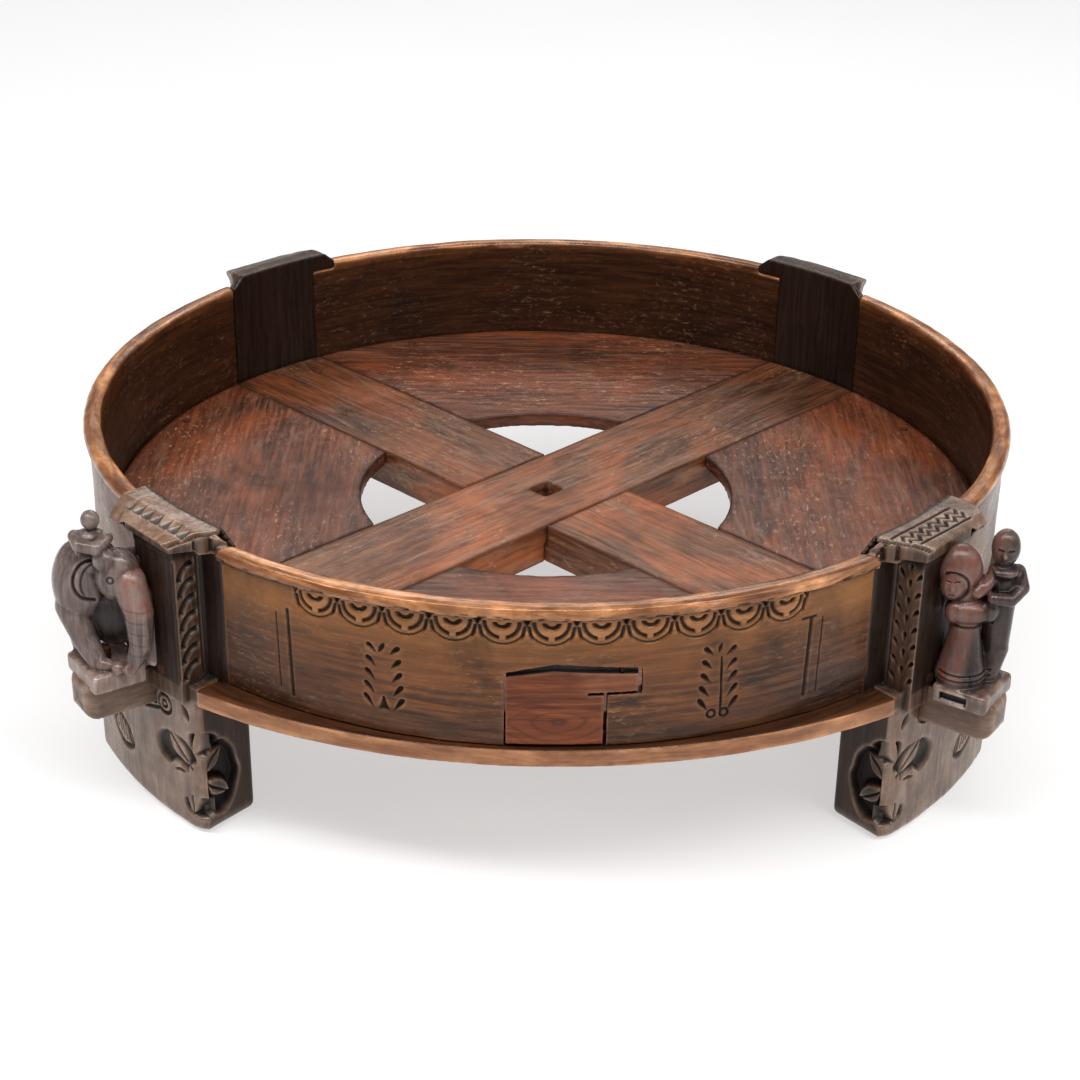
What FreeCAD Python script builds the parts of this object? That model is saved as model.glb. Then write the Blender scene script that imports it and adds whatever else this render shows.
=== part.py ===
"""Carved wooden grain-mill tray: four corner posts, curved walls, crossed floor beams and a swinging gate.

Frame: millimetres, +Z up, origin on the ground under the middle of the tray, -Y is the front (gate) side.
"""
import FreeCAD, Part
import math
import os
import Sketcher

DIMENSIONS = (
    ("rim_radius", 330, "outer radius of the rolled lip"),
    ("rim_height", 211, "top of the rim over the ground"),
    ("lip_height", 8.6, "height of the rolled lip"),
    ("wall_inner", 316, "inner radius of the walls"),
    ("wall_outer", 326.5, "outer radius of the walls"),
    ("wall_bottom", 113.7, "underside of the walls, on the rails"),
    ("wall_half_angle", 39, "half the angle of a wall panel before its ends are bevelled"),
    ("fit_gap", 0.3, "clearance between neighbouring curved faces"),
    ("angle_gap", 0.1, "angle between a rail's end and the post's spine"),
    ("board_gap", 0.1, "clearance beside a floor board and in the beams' lap"),
    ("rail_bottom", 100.5, "underside of the rails and top of the legs"),
    ("rail_inner", 292, "inner radius of the rails"),
    ("rail_bow_radius", 413, "radius of the outer edge of a rail"),
    ("rail_bow_shift", 83, "how far the centre of that edge lies behind the middle"),
    ("floor_top", 131, "top of the floor over the ground"),
    ("floor_board", 12, "thickness of the floor boards"),
    ("opening_radius", 136, "radius of the inner edge of the floor boards"),
    ("beam_width", 86, "width of the floor beams"),
    ("bracket_bottom", 84, "underside of the bracket bars"),
    ("bracket_side", 28, "width and height of a bracket bar"),
    ("bracket_reach", 390, "distance from the middle to the tip of a bracket bar"),
    ("bracket_length", 150, "whole length of a bracket bar"),
    ("bracket_tail", 88, "length of the thin tail of a bracket bar, under the beam"),
    ("bracket_splay", 11, "angle between a bracket bar and the diagonal"),
    ("bracket_fit", 0.15, "clearance of the mortise round a bracket bar"),
    ("centre_hole", 17, "side of the square spindle hole"),
    ("spine_half_angle", 11, "half the angle of the spine before its sides are bevelled"),
    ("spine_back", 300, "where the bevel of the spine's sides begins, from the middle"),
    ("spine_back_half", 45, "half the width of that bevel there"),
    ("spine_front", 350, "where that bevel ends"),
    ("spine_front_half", 31, "half the width of that bevel there"),
    ("leg_inner", 301.6, "inner radius of the legs"),
    ("leg_outer", 344, "outer radius of the legs"),
    ("leg_near_angle", 5, "angle of the leg on the gate side of the diagonal"),
    ("leg_far_angle", 18.5, "angle of the leg on the other side"),
    ("cheek_start", 320, "where the cheek block begins inside the spine"),
    ("cheek_reach", 348, "outer face of the cheek block"),
    ("cheek_half", 20, "half the width of the cheek block"),
    ("cap_bottom", 205, "underside of the cap"),
    ("cap_rise", 8, "height of the cap over the rim"),
    ("cap_back", 300, "where the cap's plan begins, from the middle"),
    ("cap_back_half", 56.5, "half the width of that plan there"),
    ("cap_reach", 350, "outer face of the cap"),
    ("cap_front_half", 33, "half the width of the cap at its outer face"),
    ("cap_top_half", 42, "half the width of the cap's level top"),
    ("cap_foot_half", 51, "half the width of the cap at the rim"),
    ("gate_left", 25, "left edge of the gate, from the middle"),
    ("gate_right", 34, "right edge of the gate's body"),
    ("gate_nose", 54.5, "tip of the gate's nose"),
    ("gate_bottom", 115.2, "underside of the gate"),
    ("gate_shoulder", 162.5, "top of the gate at its left edge"),
    ("gate_peak", 167.2, "highest point of the gate"),
    ("gate_peak_at", 4, "place of that point"),
    ("gate_nose_top", 164, "top of the nose at its tip"),
    ("nose_bottom", 151.5, "underside of the nose"),
    ("kerf_start", 24, "inner end of the saw cut under the nose"),
    ("kerf_height", 1.6, "height of the saw cut"),
    ("gate_side_gap", 2, "gap beside the gate"),
    ("gate_top_gap", 4, "gap over the gate"),
    ("hinge_at", 44.3, "place of the gate pin along the wall"),
    ("hinge_depth", 320.5, "distance of the gate pin in front of the middle"),
    ("pin_radius", 1.5, "radius of the gate pin"),
    ("pin_clearance", 0.06, "radial running clearance of the gate pin"),
    ("pin_bottom", 134, "lower end of the gate pin"),
    ("pin_top", 186, "upper end of the gate pin"),
    ("nail_circle", 321, "radius of the circle of rail nails"),
    ("nail_radius", 1.6, "radius of a nail's shank"),
    ("nail_head", 4, "radius of a nail's head"),
    ("nail_top", 134, "tip of a rail nail"),
    ("peg_circle", 304, "radius of the circle of floor pegs"),
    ("peg_radius", 3.5, "radius of the wooden pegs"),
    ("dowel_back", 22, "distance of a figure dowel from the tip of its bracket bar"),
    ("bracket_peg_back", 132, "distance of a bracket peg from the tip of its bracket bar"),
    ("lap_peg_circle", 34, "radius of the circle of lap pegs"),
    ("post_peg_height", 118, "height of the level pegs from the posts into the beams"),
    ("figure_slab", 8, "thickness of the slab under a carving"),
    ("slab_length", 38, "length of the slab under a carving"),
    ("slab_back", 41, "distance of the slab's inner edge from the tip of its bracket bar"),
    ("slab_side", 8, "how far the slab overhangs its bracket bar on each side"),
)

NUMBER = {name: value for name, value, _ in DIMENSIONS}
# Azimuth of the diagonal, the side of it on which the leg runs out, and angle of the bracket's tip.
CORNERS = {
    "front_right": (-45, 1, 3.2),
    "front_left": (-135, -1, 5.6),
    "back_right": (45, -1, 4.4),
    "back_left": (135, 1, 4.4),
}
CAP_TURN = {"front_right": 2, "front_left": -2, "back_right": 2, "back_left": -2}  # cap's middle off the diagonal
SIDES = {"front": -90, "right": 0, "back": 90, "left": 180}
NAIL_ANGLES = (-25, -14, 14, 25)  # rail nails, from the middle of a side
FLOOR_PEG_ANGLES = (-22, 22)  # floor pegs, from the middle of a side
TAIL_OVERLAP = 10  # length over which a bracket bar and its tail run together
PAST = 5  # how far a cutting tool runs past the faces that it cuts

doc = FreeCAD.newDocument("grain_tray")


def make_sheet():
    """The spreadsheet of driving dimensions, one alias each."""
    sheet = doc.addObject("Spreadsheet::Sheet", "dims")
    for row, (name, value, note) in enumerate(DIMENSIONS, start=1):
        sheet.set(f"A{row}", name)
        sheet.set(f"B{row}", str(value))
        sheet.set(f"C{row}", note)
        sheet.setAlias(f"B{row}", name)
    doc.recompute()
    return sheet


dims = make_sheet()


def add(kind, label, **sizes):
    """A document object whose properties are bound to expressions on the sheet."""
    item = doc.addObject(kind, label)
    item.Label = label
    for name, expression in sizes.items():
        item.setExpression(name.replace("_", "."), expression)
    return item


def box(label, low, high):
    """A block between two corners, each given as three expressions."""
    item = doc.addObject("Part::Box", label)
    for axis, side, start, end in zip("xyz", ("Length", "Width", "Height"), low, high):
        item.setExpression(f"Placement.Base.{axis}", start)
        item.setExpression(side, f"({end}) - ({start})")
    return item


def cylinder(label, radius, bottom, top, at=("0", "0"), start="0", sweep="360"):
    """An upright cylinder or cylinder sector, starting at an angle and sweeping round."""
    item = doc.addObject("Part::Cylinder", label)
    item.setExpression("Radius", radius)
    item.setExpression("Height", f"({top}) - ({bottom})")
    item.setExpression("Angle", sweep)
    item.setExpression("Placement.Base.x", at[0])
    item.setExpression("Placement.Base.y", at[1])
    item.setExpression("Placement.Base.z", bottom)
    item.setExpression("Placement.Rotation.Angle", start)
    return item


def cut(label, base, tool):
    item = doc.addObject("Part::Cut", label)
    item.Base, item.Tool = base, tool
    return item


def fuse(label, shapes):
    item = doc.addObject("Part::MultiFuse", label)
    item.Shapes = list(shapes)
    return item


def common(label, first, second):
    item = doc.addObject("Part::MultiCommon", label)
    item.Shapes = [first, second]
    return item


def ring(label, inner, outer, bottom, top, start, sweep):
    """A sector of an upright ring."""
    whole = cylinder(label + "_outer", outer, bottom, top, start=start, sweep=sweep)
    bore = cylinder(label + "_bore", inner, f"({bottom}) - {PAST}", f"({top}) + {PAST}")
    return cut(label, whole, bore)


def outline(label, points, container=None, upright=False):
    """A closed polygon sketch whose corners are bound to pairs of expressions.

    It lies in the XY plane, or in the XZ plane when upright.
    """
    if container is None:
        sketch = doc.addObject("Sketcher::SketchObject", label)
        if upright:
            sketch.Placement = FreeCAD.Placement(
                FreeCAD.Vector(), FreeCAD.Rotation(FreeCAD.Vector(1, 0, 0), 90))
    else:
        sketch = container.newObject("Sketcher::SketchObject", label)
        role = "XZ_Plane" if upright else "XY_Plane"
        plane = next(f for f in container.Origin.OriginFeatures if f.Role == role)
        sketch.AttachmentSupport = [(plane, "")]
        sketch.MapMode = "FlatFace"
    corners = [FreeCAD.Vector(*(dims.evalExpression(part) for part in point), 0) for point in points]
    count = len(corners)
    for i, corner in enumerate(corners):
        sketch.addGeometry(Part.LineSegment(corner, corners[(i + 1) % count]), False)
    for i in range(count):
        sketch.addConstraint(Sketcher.Constraint("Coincident", i, 2, (i + 1) % count, 1))
    for i, point in enumerate(points):
        for kind, part, value in zip(("DistanceX", "DistanceY"), point, corners[i]):
            index = sketch.addConstraint(Sketcher.Constraint(kind, -1, 1, i, 1, value))
            sketch.setExpression(f"Constraints[{index}]", part)
    return sketch


def slab(label, sketch, length, symmetric=False):
    """A sketch extruded along its normal."""
    item = doc.addObject("Part::Extrusion", label)
    item.Base = sketch
    item.DirMode = "Normal"
    item.setExpression("LengthFwd", length)
    item.Symmetric = symmetric
    item.Solid = True
    return item


def grouped(item):
    """A compound of one block, so that the block can be turned about the upright axis."""
    group = doc.addObject("Part::Compound", item.Name + "_group")
    group.Links = [item]
    return group


def turned(item, azimuth):
    """Turns a finished sub-part about the upright axis."""
    item.Placement = FreeCAD.Placement(
        FreeCAD.Vector(), FreeCAD.Rotation(FreeCAD.Vector(0, 0, 1), azimuth))
    return item


def named(item, label):
    item.Label = label
    return item


def polar(radius, azimuth, height=0.0):
    """A point at a radius and an azimuth in degrees."""
    angle = math.radians(azimuth)
    return FreeCAD.Vector(radius * math.cos(angle), radius * math.sin(angle), height)


def beside(side):
    """The two corners next to a side, each with its angle from the side's middle."""
    angles = {corner: (azimuth - SIDES[side] + 180) % 360 - 180
              for corner, (azimuth, _, _) in CORNERS.items()}
    return [(corner, angle) for corner, angle in angles.items() if abs(angle) < 90]


def wall_keep_out(label, azimuth, corner):
    """The space of a post's spine and cap, which the ends of the walls leave free."""
    spine = spine_block(label + "_spine", f"dims.wall_inner - {PAST}", f"dims.rim_radius + {PAST}",
                        f"dims.wall_bottom - {PAST}", "dims.rim_height", "dims.fit_gap")
    plan = trapezoid(label + "_cap_plan", "dims.cap_back", "dims.cap_back_half + dims.fit_gap",
                     "dims.cap_reach", "dims.cap_front_half + dims.fit_gap",
                     f"dims.rim_height + {PAST}")
    over = cylinder(label + "_cap_over", "dims.cap_reach", "dims.cap_bottom - dims.fit_gap",
                    f"dims.rim_height + {PAST}")
    cap = turned(common(label + "_cap", plan, over), CAP_TURN[corner])
    return turned(fuse(label, [spine, cap]), azimuth)


def make_wall(side):
    """A wall panel: the section with its rolled lip, turned about the upright axis."""
    body = doc.addObject("PartDesign::Body", f"wall_body_{side}")
    lip_bottom = "dims.rim_height - dims.lip_height"
    section = outline(f"wall_section_{side}", [
        ("dims.wall_inner", "dims.wall_bottom"),
        ("dims.wall_outer", "dims.wall_bottom"),
        ("dims.wall_outer", lip_bottom),
        ("dims.rim_radius - 1", lip_bottom),
        ("dims.rim_radius", f"{lip_bottom} + 2"),
        ("dims.rim_radius", "dims.rim_height - 4"),
        ("dims.rim_radius - 2", "dims.rim_height - 1"),
        ("dims.rim_radius - 5", "dims.rim_height"),
        ("dims.wall_inner + 4", "dims.rim_height"),
        ("dims.wall_inner + 1", "dims.rim_height - 1"),
        ("dims.wall_inner", "dims.rim_height - 3.5"),
    ], body, upright=True)
    turn = body.newObject("PartDesign::Revolution", f"wall_turn_{side}")
    turn.Profile = section
    axis = next(f for f in body.Origin.OriginFeatures if f.Role == "Z_Axis")
    turn.ReferenceAxis = (axis, [""])
    turn.Midplane = True
    turn.setExpression("Angle", "2 * dims.wall_half_angle")
    section.Visibility = False
    posts = [wall_keep_out(f"wall_{side}_{corner}", angle, corner) for corner, angle in beside(side)]
    panel = cut(f"wall_{side}", body, fuse(f"wall_{side}_posts", posts))
    return turned(named(panel, f"wall_{side}"), SIDES[side])


def make_front_wall():
    """The front panel, with the doorway of the gate cut through it."""
    body = named(make_wall("front"), "wall_front_blank")
    left = "-dims.gate_left - dims.gate_side_gap / 2"
    right = "dims.gate_right + dims.gate_side_gap"
    nose = "dims.gate_nose + dims.gate_side_gap + 0.5"
    foot = f"dims.wall_bottom - {PAST}"
    sill = "dims.nose_bottom - 1.5"
    doorway = outline("doorway_outline", [
        (left, foot),
        (right, foot),
        (right, sill),
        (nose, sill),
        (nose, "dims.gate_nose_top + dims.gate_top_gap - 1"),
        ("dims.gate_peak_at", "dims.gate_peak + dims.gate_top_gap"),
        (left, "dims.gate_shoulder + 2"),
    ], upright=True)
    tool = slab("doorway", doorway, f"dims.rim_radius + {PAST}")
    return named(cut("wall_front", body, tool), "wall_front")


def make_gate():
    """The gate: one board with a nose at its top right and a saw cut under the nose."""
    face = outline("gate_outline", [
        ("-dims.gate_left", "dims.gate_bottom"),
        ("dims.gate_right", "dims.gate_bottom"),
        ("dims.gate_right", "dims.nose_bottom - dims.kerf_height"),
        ("dims.kerf_start", "dims.nose_bottom - dims.kerf_height"),
        ("dims.kerf_start", "dims.nose_bottom"),
        ("dims.gate_nose", "dims.nose_bottom"),
        ("dims.gate_nose", "dims.gate_nose_top"),
        ("dims.gate_peak_at", "dims.gate_peak"),
        ("-dims.gate_left", "dims.gate_shoulder"),
    ], upright=True)
    board = slab("gate_board", face, f"dims.rim_radius + {PAST}")
    curve = ring("gate_curve", "dims.wall_inner", "dims.wall_outer", "dims.wall_bottom",
                 "dims.rim_height", "-120", "60")
    blank = common("gate_blank", board, curve)
    bore = cylinder("gate_bore", "dims.pin_radius + dims.pin_clearance",
                    f"dims.nose_bottom - {PAST}", f"dims.gate_peak + {PAST}",
                    at=("dims.hinge_at", "-dims.hinge_depth"))
    return cut("gate", blank, bore)


def make_gate_pin():
    return cylinder("gate_pin", "dims.pin_radius", "dims.pin_bottom", "dims.pin_top",
                    at=("dims.hinge_at", "-dims.hinge_depth"))


def bracket_frame(corner, back):
    """A point on a bracket bar's axis, this far back from its tip, in its post's own frame."""
    _, sense, tip_angle = CORNERS[corner]
    splay = sense * NUMBER["bracket_splay"]
    return polar(NUMBER["bracket_reach"], sense * tip_angle) - polar(back, splay), splay


def bracket_bar(label, corner, back, clearance="0"):
    """The last length, back from its tip, of a bracket bar in its post's own frame.

    It is larger all round by the clearance.
    """
    bar = box(label + "_block",
              (f"-({clearance})", f"-dims.bracket_side / 2 - {clearance}",
               f"dims.bracket_bottom - {clearance}"),
              (f"{back} + {clearance}", f"dims.bracket_side / 2 + {clearance}",
               f"dims.bracket_bottom + dims.bracket_side + {clearance}"))
    group = grouped(bar)
    place, splay = bracket_frame(corner, back)
    group.Placement = FreeCAD.Placement(place, FreeCAD.Rotation(FreeCAD.Vector(0, 0, 1), splay))
    return group


def make_bracket(corner):
    """A bracket bar through the leg: full section outside, and a thin tail under the beam."""
    label = f"bracket_{corner}"
    thick = NUMBER["bracket_length"] - NUMBER["bracket_tail"] + TAIL_OVERLAP
    bar = bracket_bar(label + "_bar", corner, thick)
    tail = grouped(box(label + "_tail",
                       ("0", "-dims.bracket_side / 2", "dims.bracket_bottom"),
                       ("dims.bracket_tail", "dims.bracket_side / 2", "dims.rail_bottom - dims.fit_gap")))
    place, splay = bracket_frame(corner, NUMBER["bracket_length"])
    tail.Placement = FreeCAD.Placement(place, FreeCAD.Rotation(FreeCAD.Vector(0, 0, 1), splay))
    shoulder = cylinder(label + "_shoulder", "dims.wall_inner - dims.fit_gap",
                        "dims.rail_bottom - dims.fit_gap", "dims.floor_top")
    whole = cut(label, fuse(label + "_whole", [bar, tail]), shoulder)
    return turned(named(whole, label), CORNERS[corner][0])


def trapezoid(label, back, back_half, front, front_half, top):
    """An upright block whose plan narrows from a back edge to a front edge."""
    plan = outline(label + "_plan", [
        (back, f"-({back_half})"),
        (front, f"-({front_half})"),
        (front, front_half),
        (back, back_half),
    ])
    return slab(label, plan, top)


def spine_block(label, inner, outer, bottom, top, gap="0"):
    """The spine of a post between two radii: its bevelled sides carry the ends of the walls."""
    whole = ring(label + "_ring", inner, outer, bottom, top, "-dims.spine_half_angle",
                 "2 * dims.spine_half_angle")
    bevel = trapezoid(label + "_bevel", "dims.spine_back", f"dims.spine_back_half + {gap}",
                      "dims.spine_front", f"dims.spine_front_half + {gap}",
                      "dims.rim_height + dims.cap_rise")
    return common(label, whole, bevel)


def post_keep_out(label, azimuth, corner):
    """The space of a corner post, its beam and its bracket, which the rails leave free."""
    foot = f"dims.rail_bottom - {PAST}"
    beam_side = "dims.beam_width / 2 + dims.fit_gap"
    spine = spine_block(label + "_spine", "dims.wall_inner - dims.fit_gap",
                        "dims.wall_outer + dims.fit_gap", foot, "dims.rim_height", "dims.fit_gap")
    collar = ring(label + "_collar", "dims.wall_inner", "dims.bracket_reach", foot, "dims.rim_height",
                  "-dims.leg_near_angle - dims.angle_gap", "2 * (dims.leg_near_angle + dims.angle_gap)")
    beam = box(label + "_beam", ("dims.wall_inner / 2", f"-({beam_side})", foot),
               ("dims.wall_inner", beam_side, "dims.rim_height"))
    bracket = bracket_bar(label + "_bracket", corner, NUMBER["bracket_length"], "dims.fit_gap")
    return turned(fuse(label, [spine, collar, beam, bracket]), azimuth)


def make_rail(side):
    """A ledge rail: bowed outer edge, round inner edge, and a step that carries the floor."""
    label = f"rail_{side}"
    floor_rest = "dims.floor_top - dims.floor_board"
    bow = cylinder(label + "_bow", "dims.rail_bow_radius", "dims.rail_bottom", "dims.wall_bottom",
                   at=("-dims.rail_bow_shift", "0"))
    step = cylinder(label + "_step", "dims.wall_inner - dims.fit_gap", "dims.wall_bottom - 1", floor_rest)
    sector = cylinder(label + "_sector", f"dims.rail_bow_radius + {PAST}",
                      f"dims.rail_bottom - {PAST}", "dims.floor_top", start="-45", sweep="90")
    whole = common(label + "_whole", fuse(label + "_layers", [bow, step]), sector)
    bore = cylinder(label + "_bore", "dims.rail_inner", f"dims.rail_bottom - {PAST}", "dims.floor_top")
    posts = [post_keep_out(f"{label}_{corner}", angle, corner) for corner, angle in beside(side)]
    return turned(named(cut(label, whole, fuse(label + "_tools", [bore] + posts)), label), SIDES[side])


def make_floor_board(side):
    """A floor board between two beams, with a round outer and inner edge."""
    label = f"floor_board_{side}"
    bottom = "dims.floor_top - dims.floor_board"
    disc = ring(label + "_ring", "dims.opening_radius", "dims.wall_inner - dims.fit_gap", bottom,
                "dims.floor_top", "-45", "90")
    beams = [turned(grouped(box(
        f"{label}_beam_{i}",
        ("0", "-dims.beam_width / 2 - dims.board_gap", f"{bottom} - {PAST}"),
        ("dims.rim_radius", "dims.beam_width / 2 + dims.board_gap", f"dims.floor_top + {PAST}"))), angle)
        for i, angle in enumerate((-45, 45))]
    return turned(named(cut(label, disc, fuse(label + "_sides", beams)), label), SIDES[side])


def make_beam(label, azimuth, lap_low, lap_high):
    """A diagonal beam with round ends, half a lap at the crossing and the square spindle hole.

    lap_low and lap_high bound the half of the depth that the other beam takes at the crossing.
    """
    half = "dims.beam_width / 2"
    bar = common(label + "_body", box(
        label + "_bar",
        ("-dims.wall_inner", f"-{half}", "dims.rail_bottom"),
        ("dims.wall_inner", half, "dims.floor_top")), cylinder(
            label + "_round", "dims.wall_inner - dims.fit_gap", "dims.rail_bottom", "dims.floor_top"))
    lap = box(label + "_lap", (f"-{half} - dims.board_gap", f"-{half} - {PAST}", lap_low),
              (f"{half} + dims.board_gap", f"{half} + {PAST}", lap_high))
    side = "dims.centre_hole / 2"
    hole = box(label + "_hole", (f"-{side}", f"-{side}", f"dims.rail_bottom - {PAST}"),
               (side, side, f"dims.floor_top + {PAST}"))
    return turned(named(cut(label, bar, fuse(label + "_cuts", [lap, hole])), label), azimuth)


def make_post(corner):
    """A corner post: leg, flush spine, cheek block and cap in one, with the mortise of its bracket."""
    azimuth, sense, _ = CORNERS[corner]
    label = f"post_{corner}"
    leg_start = "-dims.leg_near_angle" if sense > 0 else "-dims.leg_far_angle"
    leg = ring(label + "_leg", "dims.leg_inner", "dims.leg_outer", "0", "dims.rail_bottom", leg_start,
               "dims.leg_near_angle + dims.leg_far_angle")
    spine = spine_block(label + "_spine", "dims.wall_inner", "dims.wall_outer", "dims.rail_bottom - 1",
                        "dims.rim_height")
    collar = ring(label + "_collar", "dims.wall_inner", "dims.leg_outer", "dims.rail_bottom - 1",
                  "dims.wall_bottom", "-dims.leg_near_angle", "2 * dims.leg_near_angle")
    cheek = box(label + "_cheek", ("dims.cheek_start", "-dims.cheek_half", "dims.rail_bottom - 1"),
                ("dims.cheek_reach", "dims.cheek_half", "dims.cap_bottom + 1"))
    top = "dims.rim_height + dims.cap_rise"
    profile = outline(label + "_cap_outline", [
        ("dims.cap_foot_half", "dims.cap_bottom"),
        ("dims.cap_foot_half", "dims.rim_height"),
        ("dims.cap_top_half", top),
        ("-dims.cap_top_half", top),
        ("-dims.cap_foot_half", "dims.rim_height"),
        ("-dims.cap_foot_half", "dims.cap_bottom"),
    ], upright=True)
    profile.Placement = FreeCAD.Placement(FreeCAD.Vector(), FreeCAD.Rotation(90, 0, 90))
    plan = trapezoid(label + "_cap_block", "dims.cap_back", "dims.cap_back_half", "dims.cap_reach",
                     "dims.cap_front_half", f"{top} + {PAST}")
    bore = cylinder(label + "_cap_bore", "dims.wall_inner", f"dims.cap_bottom - {PAST}",
                    f"{top} + {PAST}")
    shape = common(label + "_cap_shape",
                   slab(label + "_cap_slab", profile, f"dims.cap_reach + {PAST}"), plan)
    block = turned(cut(label + "_cap", shape, bore), CAP_TURN[corner])
    whole = fuse(label + "_whole", [leg, collar, spine, cheek, block])
    mortise = bracket_bar(label + "_mortise", corner, NUMBER["bracket_length"], "dims.bracket_fit")
    return turned(named(cut(label, whole, mortise), label), azimuth)


def ball(label, centre, radii):
    """An ellipsoid: centre and three half-axes, as numbers of the carving's own layout."""
    item = doc.addObject("Part::Ellipsoid", label)
    item.Radius2, item.Radius3, item.Radius1 = radii
    item.Angle1, item.Angle2 = -90, 90
    item.Placement.Base = FreeCAD.Vector(*centre)
    return item


def make_slab(label, corner):
    """The slab under a carving, on top of its bracket bar and square to it."""
    top = "dims.bracket_bottom + dims.bracket_side"
    half = "dims.bracket_side / 2 + dims.slab_side"
    block = grouped(box(label, ("0", f"-({half})", top),
                        ("dims.slab_length", half, f"{top} + dims.figure_slab")))
    place, splay = bracket_frame(corner, NUMBER["slab_back"])
    block.Placement = FreeCAD.Placement(place, FreeCAD.Rotation(FreeCAD.Vector(0, 0, 1), splay))
    return block


def make_carving(label, corner, balls, cones):
    """A carving built of ellipsoids and cones on its slab.

    Places are numbers of the carving's own layout: outward from the middle of the tray, sideways
    towards the leg's long side, and up.
    """
    azimuth, sense, _ = CORNERS[corner]
    pieces = [make_slab(label + "_slab", corner)]
    for i, (centre, radii) in enumerate(balls):
        pieces.append(ball(f"{label}_ball_{i}", (centre[0], sense * centre[1], centre[2]), radii))
    for i, (foot, low, high, height) in enumerate(cones):
        cone = doc.addObject("Part::Cone", f"{label}_cone_{i}")
        cone.Radius1, cone.Radius2, cone.Height = low, high, height
        cone.Placement.Base = FreeCAD.Vector(foot[0], sense * foot[1], foot[2])
        pieces.append(cone)
    return turned(named(fuse(label, pieces), label), azimuth)


def make_elephant():
    """An elephant with its rider, its head towards the gate side."""
    foot = NUMBER["bracket_bottom"] + NUMBER["bracket_side"] + NUMBER["figure_slab"] - 1
    body = ((369, 34, 172), (18, 26, 27))
    head = ((372, 8, 168), (14, 15, 20))
    trunk = ((374, 2, 145), (6, 7, 26))
    rider_body = ((370, 40, 204), (9, 12, 9))
    rider_head = ((370, 40, 218), (7, 7, 7.8))
    legs = [((x, y, foot), 7.5, 7, 40) for x in (362, 374) for y in (20, 44)]
    return make_carving("elephant_carving", "front_left", (body, head, trunk, rider_body, rider_head), legs)


def make_couple():
    """A veiled figure in a bell skirt, and a companion beside it with one arm across."""
    foot = NUMBER["bracket_bottom"] + NUMBER["bracket_side"] + NUMBER["figure_slab"] - 1
    first_head = ((370, -6, 194), (11, 12, 16))
    first_bust = ((370, -3, 170), (13, 13, 11))
    second_head = ((367, 32, 208), (9.5, 9.5, 11.5))
    second_chest = ((367, 32, 188), (11, 13, 14))
    arm = ((376, 17, 184), (5, 15, 5))
    skirt = ((370, 0, foot), 15, 8, 48)
    legs = ((367, 30, foot), 9, 8, 64)
    return make_carving("couple_carving", "front_right",
                        (first_head, first_bust, second_head, second_chest, arm), (skirt, legs))


def scattered(label, places, lengths):
    """Identical fasteners as one node: a compound of upright cylinders at the places given.

    lengths is a list of (radius, bottom, top) for the stacked parts of one fastener.
    """
    links = []
    for i, place in enumerate(places):
        parts = []
        for j, (radius, bottom, top) in enumerate(lengths):
            rod = doc.addObject("Part::Cylinder", f"{label}_{i}_{j}")
            rod.setExpression("Radius", radius)
            rod.setExpression("Height", f"({top}) - ({bottom})")
            rod.Placement.Base = FreeCAD.Vector(place.x, place.y, dims.evalExpression(bottom))
            parts.append(rod)
        links.append(parts[0] if len(parts) == 1 else fuse(f"{label}_{i}", parts))
    group = doc.addObject("Part::Compound", label)
    group.Links = links
    return named(group, label)


def make_post_pegs():
    """One level peg from the outside of each post, through its spine, into the end of its beam."""
    links = []
    for corner, (azimuth, _, _) in CORNERS.items():
        peg = doc.addObject("Part::Cylinder", f"post_peg_{corner}")
        peg.setExpression("Radius", "dims.peg_radius")
        peg.setExpression("Height", "dims.cheek_reach - dims.rail_inner")
        peg.Placement = FreeCAD.Placement(polar(NUMBER["rail_inner"], azimuth, NUMBER["post_peg_height"]),
                                          FreeCAD.Rotation(FreeCAD.Vector(0, 0, 1), polar(1, azimuth)))
        links.append(peg)
    group = doc.addObject("Part::Compound", "post_pegs")
    group.Links = links
    return named(group, "post_pegs")


def on_bracket(corner, back):
    """A point on a bracket bar's axis in the frame of the tray."""
    place, _ = bracket_frame(corner, back)
    return polar(place.Length, CORNERS[corner][0] + math.degrees(math.atan2(place.y, place.x)))


def make_fasteners():
    """Nails, pegs and dowels, each kind as one node of separate solids."""
    nail_places = [polar(NUMBER["nail_circle"], side + angle)
                   for side in SIDES.values() for angle in NAIL_ANGLES]
    floor_places = [polar(NUMBER["peg_circle"], side + angle)
                    for side in SIDES.values() for angle in FLOOR_PEG_ANGLES]
    lap_places = [polar(NUMBER["lap_peg_circle"], azimuth) for azimuth, _, _ in CORNERS.values()]
    dowel_places = [on_bracket(corner, NUMBER["dowel_back"]) for corner in ("front_left", "front_right")]
    bracket_places = [on_bracket(corner, NUMBER["bracket_peg_back"]) for corner in CORNERS]
    slab_top = "dims.bracket_bottom + dims.bracket_side + dims.figure_slab"
    return [
        scattered("rail_nails", nail_places, [
            ("dims.nail_head", "dims.rail_bottom - 1.5", "dims.rail_bottom"),
            ("dims.nail_radius", "dims.rail_bottom - 1", "dims.nail_top")]),
        scattered("floor_pegs", floor_places, [
            ("dims.peg_radius", "dims.rail_bottom + 4", "dims.floor_top")]),
        scattered("lap_pegs", lap_places, [
            ("dims.peg_radius", "dims.rail_bottom", "dims.floor_top - 5")]),
        scattered("bracket_pegs", bracket_places, [
            ("dims.peg_radius", "dims.bracket_bottom - 1", "dims.floor_top - 8")]),
        scattered("figure_dowels", dowel_places, [
            ("dims.peg_radius", "dims.bracket_bottom + 4", f"{slab_top} + 8")]),
        make_post_pegs(),
    ]


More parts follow.
